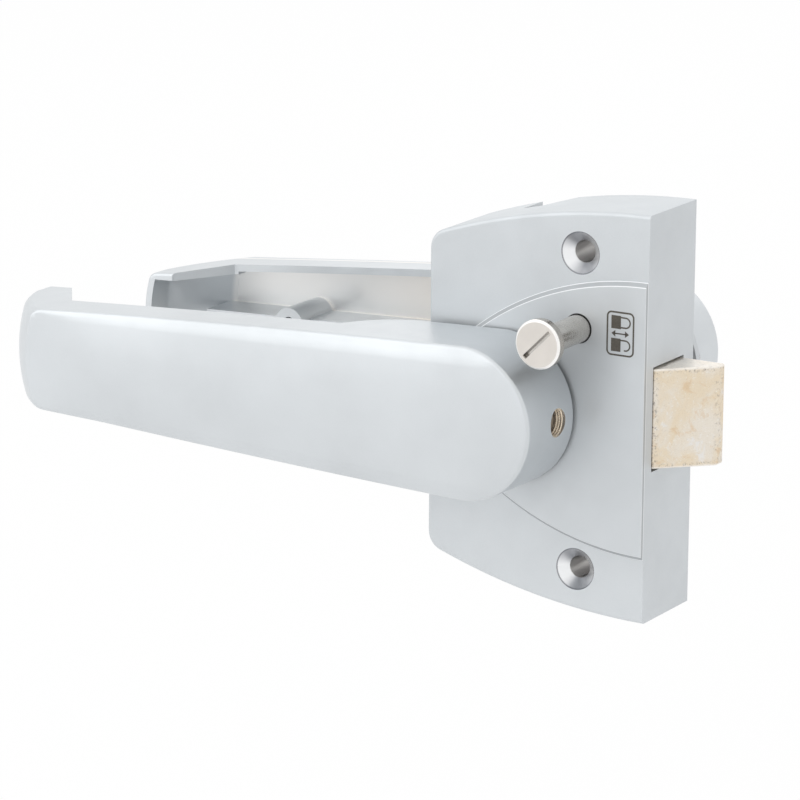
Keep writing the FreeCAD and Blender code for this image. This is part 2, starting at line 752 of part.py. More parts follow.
def make_latch_bolt():
    body = make_body("latch_bolt")
    tip = bolt_side + dim("bolt_reach")
    sketch = add_sketch(body, "head", "XY_Plane")
    add_outline(sketch, [
        (bolt_inner, bolt_front),
        (bolt_side, bolt_front),
        (tip, bolt_back - dim("bolt_tip_flat")),
        (tip, bolt_back),
        (bolt_inner, bolt_back),
    ])
    head = add_feature(body, "Pad", "head", sketch, dim("bolt_height"), both_ways=True)
    add_dressing(body, "Fillet", "edges", head, lambda e: (
        e.BoundBox.XMin > bolt_side.value - 0.01), dim("bolt_edge"))
    sketch = add_sketch(body, "tail", "XZ_Plane", -tail_back)
    add_outline(sketch, [
        (hook_left, tail_bottom),
        (bolt_inner + 1, tail_bottom),
        (bolt_inner + 1, bolt_half),
        (hook_right, bolt_half),
        (hook_right, bolt_half + dim("hook_rise")),
        (hook_left, bolt_half + dim("hook_rise")),
    ])
    add_feature(body, "Pad", "tail", sketch, dim("tail_depth"))
    sketch = add_sketch(body, "spring_bore", "YZ_Plane", bolt_inner)
    add_circle(sketch, bolt_middle, -dim("bolt_spring_drop"), dim("bolt_spring_outer") / 2 + 0.3)
    add_feature(body, "Pocket", "spring_bore", sketch, dim("bolt_spring_bore_depth"), backwards=True)
    return body


def make_spring(name, outer, wire, turns, length):
    """A compression spring that stands on its body's XY plane."""
    body = doc.addObject("PartDesign::Body", name)
    body.Label = name
    sketch = add_sketch(body, "wire", "XZ_Plane")
    add_circle(sketch, (dim(outer) - dim(wire)) / 2, dim(wire) / 2, dim(wire) / 2)
    doc.recompute()
    helix = body.newObject("PartDesign::AdditiveHelix", name + "_coil")
    helix.Profile = sketch
    helix.ReferenceAxis = (sketch, ["V_Axis"])
    helix.Mode = 2
    bind(helix, "Height", dim(length) - dim(wire))
    bind(helix, "Turns", dim(turns))
    sketch.Visibility = False
    return body


def place_spring(body, x, y, z, along_x):
    for axis, value in (("x", x), ("y", y), ("z", z)):
        bind(body, "Placement.Base." + axis, value)
    if along_x:
        body.setExpression("Placement.Rotation", "create(<<rotation>>; create(<<vector>>; 0; 1; 0); 90)")
    doc.recompute()


def make_pin():
    head_back = field_front - dim("pin_head_stand")
    head_front = head_back - dim("pin_head_thick")
    head = dim("pin_head") / 2
    shank = dim("pin_shank") / 2
    body = make_turned("locking_pin", dim("pin_x"), dim("pin_z"), [
        (0, head_front),
        (head - 0.5, head_front),
        (head, head_front + 0.5),
        (head, head_back - 0.3),
        (head - 0.3, head_back),
        (shank, head_back),
        (shank, -dim("pin_inner_end") - 0.8),
        (shank - 0.8, -dim("pin_inner_end")),
        (0, -dim("pin_inner_end")),
    ])
    sketch = add_sketch(body, "key_groove", "YZ_Plane", dim("pin_key_depth") - shank)
    screw = stop_screw_radius() + 0.1
    middle = stop_screw_y()
    half = dim("pin_key_width") / 2
    add_rectangle(sketch, middle - screw - dim("pin_travel"), middle + screw, -half, half)
    add_feature(body, "Pocket", "key_groove", sketch, shank)
    sketch = add_sketch(body, "driver_slot", "XZ_Plane", -head_front)
    slope = root(dim(0.5))
    along = dim("pin_slot_length") / 2 * slope
    across = dim("pin_slot_width") / 2 * slope
    add_outline(sketch, [
        (-along + across, -along - across),
        (along + across, along - across),
        (along - across, along + across),
        (-along - across, -along + across),
    ])
    add_feature(body, "Pocket", "driver_slot", sketch, dim("pin_slot_depth"))
    return body


def make_pin_stop():
    body = make_body("pin_stop_screw", dim("pin_x"), stop_screw_y(), dim("pin_z"))
    sketch = add_sketch(body, "round", "YZ_Plane", -dim("pin_guide") / 2 - 1)
    add_circle(sketch, 0, 0, stop_screw_radius() - 0.05)
    inner = dim("pin_shank") / 2 - dim("pin_key_depth") + 0.3
    add_feature(body, "Pad", "round", sketch, dim("pin_guide") / 2 + 1 - inner)
    return body


def make_pin_ring():
    body = make_body("pin_friction_ring", dim("pin_x"), case_front, dim("pin_z"))
    sketch = add_sketch(body, "section", "XY_Plane")
    wire = dim("pin_ring_wire") / 2 - 0.02
    add_circle(sketch, dim("pin_shank") / 2 + dim("pin_ring_wire") / 2 + 0.02, 0, wire)
    add_turning(body, "Revolution", "ring", sketch)
    return body


def make_rose():
    radius = dim("rose_diameter") / 2
    edge = dim("rose_round")
    body = make_turned("outside_rose", axis_x, axis_z, [
        (dim("bush_sleeve") / 2, rose_back),
        (dim("rose_hub") / 2, rose_back),
        (dim("rose_hub") / 2, rose_front - dim("rose_sheet")),
        (radius - dim("rose_rim"), rose_front - dim("rose_sheet")),
        (radius - dim("rose_rim"), rose_back),
        (radius, rose_back),
        (radius, rose_front - edge, edge, True),
        (radius - edge, rose_front),
        (dim("bush_sleeve") / 2, rose_front),
    ])
    sketch = add_sketch(body, "screw_bosses", "XZ_Plane", -rose_back)
    for sign in (1, -1):
        add_circle(sketch, 0, sign * dim("rose_screw_spacing") / 2, dim("rose_screw_boss") / 2)
    add_feature(body, "Pad", "screw_bosses", sketch, dim("rose_thick") - 0.2, backwards=True)
    sketch = add_sketch(body, "bush_bore", "XZ_Plane", -rose_back)
    add_circle(sketch, 0, 0, dim("bush_sleeve") / 2)
    add_feature(body, "Pocket", "bush_bore", sketch, dim("rose_thick"))
    sketch = add_sketch(body, "screw_holes", "XZ_Plane", -rose_front)
    for sign in (1, -1):
        add_circle(sketch, 0, sign * dim("rose_screw_spacing") / 2, dim("rose_screw_hole") / 2)
    doc.recompute()
    hole = body.newObject("PartDesign::Hole", "rose_screw_holes")
    hole.Profile = sketch
    hole.Threaded = False
    hole.DepthType = "ThroughAll"
    hole.HoleCutType = "Countersink"
    hole.HoleCutCustomValues = True
    hole.Reversed = True
    bind(hole, "Diameter", dim("rose_screw_hole"))
    bind(hole, "HoleCutDiameter", dim("rose_screw_sink"))
    hole.HoleCutCountersinkAngle = 90
    sketch.Visibility = False
    doc.recompute()
    return body


def lever_side(u, inset):
    """Half height of the lever's near-face outline at the distance u from its axis."""
    radius = dim("lever_side_arc")
    head = dim("lever_head") / 2
    run = lever_corner()
    fall = head - dim("lever_tip_half")
    chord = root(run * run + fall * fall)
    height = root(radius * radius - chord * chord / 4)
    centre_u = run / 2 - height * fall / chord
    centre_z = (head + dim("lever_tip_half")) / 2 - height * run / chord
    inner = radius - inset
    return centre_z + root(inner * inner - (dim(u) - centre_u) * (dim(u) - centre_u))


def lever_corner():
    """Distance from the axis to the point where the lever's flanks meet its tip."""
    tip = dim("lever_tip_radius")
    half = dim("lever_tip_half")
    return dim("lever_reach") + 1 - tip + root(tip * tip - half * half)


def hollow_tip(body, span, start, floor):
    """Carries the trough into the curled tip, up to an even wall, between the heights -span and span."""
    depth, reach, rise = dim("lever_depth"), dim("lever_reach"), dim("lever_return")
    run, curve, straight = dim("lever_tip_front"), dim("lever_tip_curve"), dim("lever_tip_straight")
    wall, tip = dim("lever_tip_wall"), dim("lever_tip_radius")
    climb = depth - straight
    chord = root(run * run + climb * climb)
    height = root(curve * curve - chord * chord / 4)
    centre_x = run / 2 - reach + climb / chord * height
    centre_y = run / chord * height - (depth + straight) / 2
    inner = curve - wall
    drop = tip - root(tip * tip - span * span)
    path = add_sketch(body, "tip_room_path", "XZ_Plane")
    add_open_arc(path, (drop - reach, span), (drop - reach, -span), tip)
    sketch = add_sketch(body, "tip_room_curve", "XY_Plane", span, drop)
    low, high = floor + centre_y, straight + centre_y
    add_outline(sketch, [
        (-start, -floor),
        (centre_x - root(inner * inner - low * low), -floor, inner, False),
        (centre_x - root(inner * inner - high * high), -straight),
        (wall - reach, rise + 1),
        (-start, rise + 1),
    ])
    room = body.newObject("PartDesign::SubtractivePipe", body.Name + "_tip_room")
    room.Profile = sketch
    room.Spine = (path, ["Edge1"])
    room.Mode = "Fixed"
    doc.recompute()


def make_lever(name):
    """A hollow lever with its axis along Y, its near face on Y = 0 and its grip towards -X."""
    body = doc.addObject("PartDesign::Body", name)
    body.Label = name
    head = dim("lever_head") / 2
    depth = dim("lever_depth")
    reach = dim("lever_reach")
    rise = dim("lever_return")
    half = dim("lever_tip_half")
    tip = dim("lever_tip_radius")
    corner = lever_corner()
    arc = dim("lever_side_arc")

    # The drafted block, as deep as the front face and the curled tip reach.
    sketch = add_sketch(body, "outline", "XZ_Plane", -rise)
    add_outline(sketch, [
        (0, -head, head, True),
        (head, 0, head, True),
        (0, head, arc, True),
        (-corner, half, tip, True),
        (-corner, -half, arc, True),
    ])
    block = add_feature(body, "Pad", "block", sketch, depth + rise)
    bind(block, "TaperAngle", -dim("lever_draft"))

    # The curled tip: its plan curve is carried along the arc of the tip.
    span = half + 5
    drop = tip - root(tip * tip - span * span)
    sketch = add_sketch(body, "tip_path", "XZ_Plane")
    path = sketch
    add_open_arc(sketch, (drop - reach, span), (drop - reach, -span), tip)
    sketch = add_sketch(body, "tip_curve", "XY_Plane", span, drop)
    front = dim("lever_tip_front") - reach
    add_outline(sketch, [
        (front, -depth, dim("lever_tip_curve"), False),
        (-reach, -dim("lever_tip_straight")),
        (-reach, rise + 1),
        (-reach - 4, rise + 1),
        (-reach - 4, -depth - 1),
        (front, -depth - 1),
    ])
    curve = body.newObject("PartDesign::SubtractivePipe", name + "_tip")
    curve.Profile = sketch
    curve.Spine = (path, ["Edge1"])
    curve.Mode = "Fixed"
    doc.recompute()
    corners = add_dressing(body, "Fillet", "tip_corners", curve, lambda e: (
        e.BoundBox.XMax < front.value + half.value / 2 and e.BoundBox.YLength > rise.value / 2
        and e.BoundBox.ZLength < half.value / 3 and abs(e.BoundBox.ZMin) > half.value * 0.6),
        dim("lever_tip_corner"))
    add_dressing(body, "Fillet", "front_round", corners, lambda e: (
        e.BoundBox.YMax < 0.01 - depth.value), dim("lever_front_round"))

    # Room for the fingers behind the grip, up to the inner side of the return.
    start = head + dim("lever_rim_start")
    rim = dim("lever_rim")
    sweep = dim("lever_rim_sweep")
    inner = reach - dim("lever_return_thick")
    sketch = add_sketch(body, "finger_room", "XY_Plane")
    add_outline(sketch, [
        (-start, 0, sweep, True),
        (-start - root(sweep * sweep - (sweep - rim) * (sweep - rim)), -rim),
        (dim("lever_return_slant") - inner, -rim),
        (-inner, rise),
        (-inner, rise + 1),
        (head * 1.2, rise + 1),
        (head * 1.2, 0),
    ])
    room = add_feature(body, "Pocket", "finger_room", sketch, dim("lever_head") * 2, both_ways=True)
    add_dressing(body, "Fillet", "return_round", room, lambda e: (
        e.BoundBox.YMin > rise.value - 0.01), dim("lever_return_round"))

    # The trough inside the grip, with its rib and its stud.
    wall = dim("lever_wall")
    first = dim("trough_start")
    last = reach - dim("trough_end_gap")
    floor = depth - dim("lever_floor")
    sketch = add_sketch(body, "trough", "XZ_Plane")
    add_outline(sketch, [
        (-first, -lever_side(first, wall)),
        (-first, lever_side(first, wall), arc - wall, True),
        (-last, lever_side(last, wall)),
        (-last, -lever_side(last, wall), arc - wall, True),
    ])
    trough = add_feature(body, "Pocket", "trough", sketch, floor, backwards=True)
    trough = add_dressing(body, "Fillet", "trough_corners", trough, lambda e: (
        e.BoundBox.XLength < 0.01 and e.BoundBox.ZLength < 0.01
        and abs(e.BoundBox.XMin + first.value) < 0.1
        and e.BoundBox.YMin < 0.1 - floor.value), dim("trough_round"))
    add_dressing(body, "Fillet", "trough_floor", trough, lambda e: (
        abs(e.BoundBox.YMin + floor.value) < 0.01 and e.BoundBox.YLength < 0.01
        and 0.1 - last.value < e.BoundBox.XMax < 0.1 - first.value), dim("trough_floor_round"))
    hollow_tip(body, lever_side(last, wall) - 0.8, last - 6, floor)
    sketch = add_sketch(body, "rib", "XZ_Plane", dim("rib_edge"))
    thick = dim("rib_thick") / 2
    add_rectangle(sketch, dim("rib_end_gap") - reach, -dim("rib_start"), -thick, thick)
    add_feature(body, "Pad", "rib", sketch, floor - dim("rib_edge") + 0.5)
    stud = dim("stud_from_tip") - reach
    sketch = add_sketch(body, "stud", "XZ_Plane", dim("stud_end"))
    add_circle(sketch, stud, 0, dim("stud_outer") / 2)
    add_feature(body, "Pad", "stud", sketch, floor - dim("stud_end") + 0.5)
    sketch = add_sketch(body, "stud_bore", "XZ_Plane", dim("stud_end"))
    add_circle(sketch, stud, 0, dim("stud_bore") / 2)
    add_feature(body, "Pocket", "stud_bore", sketch, dim("stud_bore_depth"), backwards=True)

    # The head: a ring-shaped core print, the web of the grub screw, the square socket, the screw's bore.
    sketch = add_sketch(body, "head_core", "XZ_Plane")
    add_circle(sketch, 0, 0, dim("head_core_outer") / 2)
    add_circle(sketch, 0, 0, dim("head_core_inner") / 2)
    add_feature(body, "Pocket", "head_core", sketch, dim("head_core_depth"), backwards=True)
    sketch = add_sketch(body, "web", "XZ_Plane")
    web = dim("head_core_web") / 2
    add_rectangle(sketch, dim("head_core_inner") / 2 - 2, dim("head_core_outer") / 2 + 1, -web, web)
    add_feature(body, "Pad", "web", sketch, dim("head_core_depth"))
    sketch = add_sketch(body, "socket", "XZ_Plane")
    socket = dim("spindle_square") / 2 + dim("socket_play")
    add_rectangle(sketch, -socket, socket, -socket, socket)
    add_feature(body, "Pocket", "socket", sketch, dim("socket_depth"), backwards=True)
    bores = [("grub_bore", dim("grub_thread") / 2 + 0.05, head), ("grub_mouth", dim("grub_mouth") / 2,
                                                                 dim("grub_mouth_depth"))]
    for bore_name, radius, deep in bores:
        sketch = add_sketch(body, bore_name, "YZ_Plane", head + 2)
        add_circle(sketch, -dim("grub_place"), 0, radius)
        add_feature(body, "Pocket", bore_name, sketch, deep + 2)
    doc.recompute()
    return body


def place_rear_lever(body):
    """The same casting, turned over towards the door and sagging by its play on the spindle."""
    bind(body, "Placement.Base.x", axis_x)
    bind(body, "Placement.Base.y", rear_lever_face)
    bind(body, "Placement.Base.z", axis_z)
    body.setExpression("Placement.Rotation", (
        "create(<<rotation>>; create(<<vector>>; 0; -1; 0); sizes.rear_lever_sag) * "
        "create(<<rotation>>; create(<<vector>>; 1; 0; 0); 180)"))
    doc.recompute()


def make_grub_screw(name):
    """A grub screw along X that points at the spindle: its hexagon socket faces +X."""
    body = doc.addObject("PartDesign::Body", name)
    body.Label = name
    radius = dim("grub_thread") / 2
    inner = dim("spindle_square") / 2 + dim("grub_gap")
    length = dim("grub_length")
    sketch = add_sketch(body, "round", "YZ_Plane", inner)
    add_circle(sketch, -dim("grub_place"), 0, radius)
    rod = add_feature(body, "Pad", "rod", sketch, length)
    add_dressing(body, "Chamfer", "ends", rod, lambda e: e.BoundBox.XLength < 0.01, 0.5)
    sketch = add_sketch(body, "hexagon", "YZ_Plane", inner + length)
    flat = dim("grub_hex") / 2
    side = flat / root(dim(3))
    y = -dim("grub_place")
    add_outline(sketch, [(y - side * 2, 0), (y - side, -flat), (y + side, -flat),
                         (y + side * 2, 0), (y + side, flat), (y - side, flat)])
    add_feature(body, "Pocket", "hexagon", sketch, dim("grub_hex_depth"))
    doc.recompute()
    return body


def export_parts():
    os.makedirs("parts", exist_ok=True)
    for body in doc.Objects:
        if body.TypeId != "PartDesign::Body":
            continue
        if not body.Shape.isValid() or len(body.Shape.Solids) != 1:
            raise RuntimeError("bad shape: " + body.Label)
        body.Shape.exportStep("parts/%s.step" % body.Label)



make_case()
make_back_plate()
for number, (screw_x, screw_z) in enumerate(plate_screw_places(), start=1):
    make_plate_screw(number, screw_x, screw_z)
running = dim("hub_barrel") + dim("running_play") * 2
make_bush("front_bush", dim("bush_flange"), running, field_front, bush_seat,
          field_front - dim("bush_flange_thick"))
make_bush("rear_bush", dim("inner_bush_flange"), running, plate_inner, dim(0),
          plate_inner - dim("bush_flange_thick"))
make_bush("rose_bush", dim("bush_flange"), dim("rose_bush_bore"), rose_front, rose_back,
          rose_front + dim("bush_flange_thick"))
make_hub()
make_spindle()
make_retractor()
make_latch_bolt()
bolt_spring = make_spring("bolt_spring", "bolt_spring_outer", "bolt_spring_wire", "bolt_spring_turns",
                          bolt_inner + dim("bolt_spring_bore_depth") - hook_left - 0.1)
place_spring(bolt_spring, hook_left + 0.05, bolt_middle, -dim("bolt_spring_drop"), True)
return_spring = make_spring("return_spring", "return_spring_outer", "return_spring_wire",
                            "return_spring_turns", dim("return_spring_length") - 0.1)
place_spring(return_spring, spring_x, spring_y, spring_bottom + 0.05, False)
make_pin()
make_pin_stop()
make_pin_ring()
make_rose()
front_lever = make_lever("front_lever")
front_grub = make_grub_screw("front_grub_screw")
for piece in (front_lever, front_grub):
    bind(piece, "Placement.Base.x", axis_x)
    bind(piece, "Placement.Base.y", front_lever_face)
    bind(piece, "Placement.Base.z", axis_z)
place_rear_lever(make_lever("rear_lever"))
place_rear_lever(make_grub_screw("rear_grub_screw"))
doc.recompute()

for feature in doc.Objects:
    if "Invalid" in feature.State or "Error" in feature.State:
        raise RuntimeError("failed: " + feature.Name)
export_parts()
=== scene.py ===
"""Looks of a lever door lock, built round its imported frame. All lengths are in metres."""

import json
import math

import bmesh
import bpy
from mathutils import Matrix, Vector


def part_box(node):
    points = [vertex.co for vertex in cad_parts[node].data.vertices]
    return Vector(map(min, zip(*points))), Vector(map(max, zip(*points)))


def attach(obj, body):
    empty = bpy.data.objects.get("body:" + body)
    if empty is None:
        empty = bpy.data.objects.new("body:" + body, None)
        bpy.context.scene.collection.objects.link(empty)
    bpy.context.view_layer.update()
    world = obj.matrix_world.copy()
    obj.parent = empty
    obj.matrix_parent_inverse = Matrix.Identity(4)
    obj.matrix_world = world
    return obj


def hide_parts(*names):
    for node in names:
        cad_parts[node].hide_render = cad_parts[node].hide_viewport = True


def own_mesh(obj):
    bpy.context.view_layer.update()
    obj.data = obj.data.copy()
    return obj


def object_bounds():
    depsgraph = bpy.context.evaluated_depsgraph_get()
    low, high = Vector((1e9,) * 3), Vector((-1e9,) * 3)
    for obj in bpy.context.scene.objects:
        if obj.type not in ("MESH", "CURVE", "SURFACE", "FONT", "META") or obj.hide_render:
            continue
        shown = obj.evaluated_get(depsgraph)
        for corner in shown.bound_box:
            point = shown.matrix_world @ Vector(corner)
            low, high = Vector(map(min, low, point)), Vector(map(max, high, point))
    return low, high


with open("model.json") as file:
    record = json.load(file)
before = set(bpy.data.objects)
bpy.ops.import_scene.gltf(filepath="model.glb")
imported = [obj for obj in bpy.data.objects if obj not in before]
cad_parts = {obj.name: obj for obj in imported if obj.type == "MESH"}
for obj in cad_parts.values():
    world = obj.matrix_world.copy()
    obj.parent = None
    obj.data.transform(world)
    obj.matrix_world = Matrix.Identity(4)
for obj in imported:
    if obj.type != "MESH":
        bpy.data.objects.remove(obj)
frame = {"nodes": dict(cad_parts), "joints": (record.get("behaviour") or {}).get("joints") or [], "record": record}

bl_info = {
    "name": "Lever door lock",
    "version": (1, 0, 0),
    "blender": (4, 5, 0),
    "location": "3D Viewport > Sidebar > Door lock",
    "description": "Finishes, sign, threads and stage of a lever door lock",
    "category": "Object",
}

CAD_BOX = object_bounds()
MM = 0.001
SPRING_INSET = 1.5 * MM


def joint_place(name):
    """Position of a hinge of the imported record."""
    return next(Vector(j["pos_m"]) for j in frame["joints"] if j["name"] == name)


SPINDLE = joint_place("lever_turn")
CASE_LOW, CASE_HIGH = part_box("case_shell")
PIN_LOW, PIN_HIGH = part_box("locking_pin")
PIN_CENTRE = (PIN_LOW + PIN_HIGH) / 2
BOLT_LOW, BOLT_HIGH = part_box("latch_bolt")
REAR_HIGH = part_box("rear_lever")[1]
SCREW_SPACING = next(
    m["dims"]["spacing_y_mm"] for m in frame["record"]["mounts"] if m["name"] == "fixing_screws"
) * MM


class Shading:
    """A material's node tree, written as a few plain steps."""

    def __init__(self, name):
        old = bpy.data.materials.get(name)
        if old:
            bpy.data.materials.remove(old)
        self.material = bpy.data.materials.new(name)
        self.material.use_nodes = True
        self.tree = self.material.node_tree
        self.tree.nodes.clear()
        self.output = self.add("ShaderNodeOutputMaterial")
        self.coordinates = self.add("ShaderNodeTexCoord").outputs["Object"]

    def add(self, kind, **settings):
        node = self.tree.nodes.new(kind)
        for key, value in settings.items():
            setattr(node, key, value)
        return node

    def put(self, socket, value):
        """Links an output to a socket, or sets the socket's own value."""
        if isinstance(value, bpy.types.NodeSocket):
            self.tree.links.new(value, socket)
        elif hasattr(socket.default_value, "__len__") and not hasattr(value, "__len__"):
            socket.default_value = [value] * len(socket.default_value)
        else:
            socket.default_value = value

    def moved(self, centre=(0, 0, 0), scale=(1, 1, 1), turn=(0, 0, 0)):
        """Object coordinates measured from a centre, stretched by a scale."""
        node = self.add("ShaderNodeMapping", vector_type="TEXTURE")
        self.put(node.inputs["Vector"], self.coordinates)
        self.put(node.inputs["Location"], centre)
        self.put(node.inputs["Rotation"], turn)
        self.put(node.inputs["Scale"], [1 / s for s in scale])
        return node.outputs["Vector"]

    def noise(self, scale, detail=3.0, roughness=0.5, vector=None, distortion=0.0):
        node = self.add("ShaderNodeTexNoise")
        self.put(node.inputs["Vector"], vector or self.coordinates)
        self.put(node.inputs["Scale"], scale)
        self.put(node.inputs["Detail"], detail)
        self.put(node.inputs["Roughness"], roughness)
        self.put(node.inputs["Distortion"], distortion)
        return node.outputs["Fac"]

    def cells(self, scale, vector=None, feature="F1"):
        node = self.add("ShaderNodeTexVoronoi", feature=feature)
        self.put(node.inputs["Vector"], vector or self.coordinates)
        self.put(node.inputs["Scale"], scale)
        return node.outputs["Distance"]

    def math(self, operation, a, b=0.0, c=0.0, clamp=False):
        node = self.add("ShaderNodeMath", operation=operation, use_clamp=clamp)
        for socket, value in zip(node.inputs, (a, b, c)):
            self.put(socket, value)
        return node.outputs[0]

    def span(self, value, low, high, start=0.0, end=1.0, smooth=True):
        """Maps low..high to start..end and holds the ends."""
        node = self.add("ShaderNodeMapRange")
        node.interpolation_type = "SMOOTHSTEP" if smooth else "LINEAR"
        for key, number in zip(("Value", "From Min", "From Max", "To Min", "To Max"),
                               (value, low, high, start, end)):
            self.put(node.inputs[key], number)
        return node.outputs["Result"]

    def plateau(self, value, start, full, end, gone):
        """1 from full to end, falling to 0 at start and at gone."""
        return self.math("MULTIPLY", self.span(value, start, full), self.span(value, end, gone, 1.0, 0.0))

    def ramp(self, factor, stops):
        node = self.add("ShaderNodeValToRGB")
        elements = node.color_ramp.elements
        while len(elements) < len(stops):
            elements.new(0.5)
        for element, (place, colour) in zip(elements, stops):
            element.position = place
            element.color = (*colour, 1) if len(colour) == 3 else colour
        self.put(node.inputs["Fac"], factor)
        return node.outputs["Color"]

    def mix(self, factor, a, b):
        node = self.add("ShaderNodeMix", data_type="RGBA")
        self.put(node.inputs["Factor"], factor)
        for key, value in (("A", a), ("B", b)):
            socket = next(s for s in node.inputs if s.name == key and s.type == "RGBA")
            if hasattr(value, "__len__") and len(value) == 3:
                value = (*value, 1)
            self.put(socket, value)
        return next(s for s in node.outputs if s.type == "RGBA")

    def blend(self, factor, a, b):
        """Mixes two plain numbers."""
        node = self.add("ShaderNodeMix", data_type="FLOAT")
        self.put(node.inputs["Factor"], factor)
        self.put(node.inputs["A"], a)
        self.put(node.inputs["B"], b)
        return node.outputs["Result"]

    def parts(self, vector):
        node = self.add("ShaderNodeSeparateXYZ")
        self.put(node.inputs[0], vector)
        return node.outputs

    def reach(self, vector, keep=(1, 1, 1)):
        """Distance of a point from the origin of its coordinates, along the kept axes."""
        scaled = self.add("ShaderNodeVectorMath", operation="MULTIPLY")
        self.put(scaled.inputs[0], vector)
        self.put(scaled.inputs[1], keep)
        length = self.add("ShaderNodeVectorMath", operation="LENGTH")
        self.put(length.inputs[0], scaled.outputs["Vector"])
        return length.outputs["Value"]

    def bump(self, height, strength, distance, under=None):
        node = self.add("ShaderNodeBump")
        self.put(node.inputs["Height"], height)
        self.put(node.inputs["Strength"], strength)
        self.put(node.inputs["Distance"], distance)
        if under is not None:
            self.put(node.inputs["Normal"], under)
        return node.outputs["Normal"]

    def surface(self, **sockets):
        node = self.add("ShaderNodeBsdfPrincipled")
        for key, value in sockets.items():
            name = key.replace("_", " ")
            socket = next(s for s in node.inputs if s.name.lower() == name.lower())
            if hasattr(value, "__len__") and len(value) == 3 and socket.type == "RGBA":
                value = (*value, 1)
            self.put(socket, value)
        self.tree.links.new(node.outputs[0], self.output.inputs["Surface"])
        return self.material


def tint(colour, factor):
    return tuple(min(1.0, channel * factor) for channel in colour)


def near_line(shading, centre, keep, inner, outer):
    """1 close to a line, 0 beyond it: the line goes through the centre, along the axis that isn't kept."""
    place = shading.moved(centre)
    return shading.span(shading.reach(place, keep), inner, outer, 1.0, 0.0)


# Depths behind the front of the case's raised field: its chamfer's painted shade, the painted highlights on the
# chamfer's two edges, and where the painted shade beside the pin ends.
STEP_SHADE = (0.12 * MM, 0.25 * MM, 1.00 * MM, 1.15 * MM)
STEP_HIGHLIGHTS = (0.03 * MM, 0.06 * MM, 1.22 * MM, 1.28 * MM)
FIELD_ONLY = (0.10 * MM, 0.20 * MM)
# Distances from the pin's axis, for the painted shadow in the gap round the pin, and from the middle of the
# painted shade beside it.
PIN_GAP_SHADOW = (3.62 * MM, 3.74 * MM)
PIN_SHADE_PLACE = (PIN_CENTRE.x - 3 * MM, 0, PIN_CENTRE.z - 7 * MM)
PIN_SHADE_REACH = (4 * MM, 19 * MM)
# Places along X: where a lever's trough ends, where its painted warm reflection grows, and, measured from a grub
# screw's middle, where the painted light on its bore's mouth begins.
TROUGH_END = (-41 * MM, -40 * MM)
TROUGH_REFLECTION = (-115 * MM, -45 * MM)
BORE_MOUTH = (-4.5 * MM, -4.0 * MM)
# Rings left by a turning tool, in radians for each metre.
TOOL_RINGS = 62000


def trough_light_and_gloss(s, colour, rough, depths):
    """Painted light on the floor of a lever's trough, which is also smoother, and a painted warm reflection
    towards the head.
    """
    low, high = depths
    x, depth, z = s.parts(s.coordinates)
    deep = s.plateau(depth, low, high, high, high + 0.8 * MM)
    deep = s.math("MULTIPLY", deep, s.span(x, *TROUGH_END, 1.0, 0.0))
    warm = s.math("MULTIPLY", deep, s.span(x, *TROUGH_REFLECTION, 0.10, 0.80))
    # Painted light: the trough's floor is lightened.
    colour = s.mix(s.math("MULTIPLY", deep, 0.85), colour, (0.92, 0.92, 0.91))
    # Painted warm reflection, growing towards the head.
    colour = s.mix(warm, colour, (0.88, 0.77, 0.65))
    return colour, s.blend(deep, rough, 0.30)


def field_painted_light(s, colour, base):
    """Painted highlights on the step round the case's field, painted shade on its chamfer, a painted shadow in the
    gap round the pin and painted shade beside the pin.
    """
    depth = s.math("SUBTRACT", s.parts(s.coordinates)[1], CASE_LOW.y)
    # Painted shade on the chamfer of the step.
    chamfer_shade = s.plateau(depth, *STEP_SHADE)
    colour = s.mix(s.math("MULTIPLY", chamfer_shade, 0.9), colour, tint(base, 0.68))
    # Painted highlights along the chamfer's two edges.
    lines = s.math("MULTIPLY", s.plateau(depth, *STEP_HIGHLIGHTS), s.math("SUBTRACT", 1.0, chamfer_shade))
    colour = s.mix(s.math("MULTIPLY", lines, 0.9), colour, (0.97, 0.98, 0.99))
    # Painted shadow: a dark ring in the gap round the pin.
    gap = near_line(s, (PIN_CENTRE.x, 0, PIN_CENTRE.z), (1, 0, 1), *PIN_GAP_SHADOW)
    colour = s.mix(gap, colour, (0.03, 0.03, 0.03))
    # Painted shade beside and below the pin, on the field's front only.
    pin_shade = near_line(s, PIN_SHADE_PLACE, (1, 0, 1), *PIN_SHADE_REACH)
    pin_shade = s.math("MULTIPLY", pin_shade, s.span(depth, *FIELD_ONLY, 0.55, 0.0))
    return s.mix(pin_shade, colour, tint(base, 0.62))


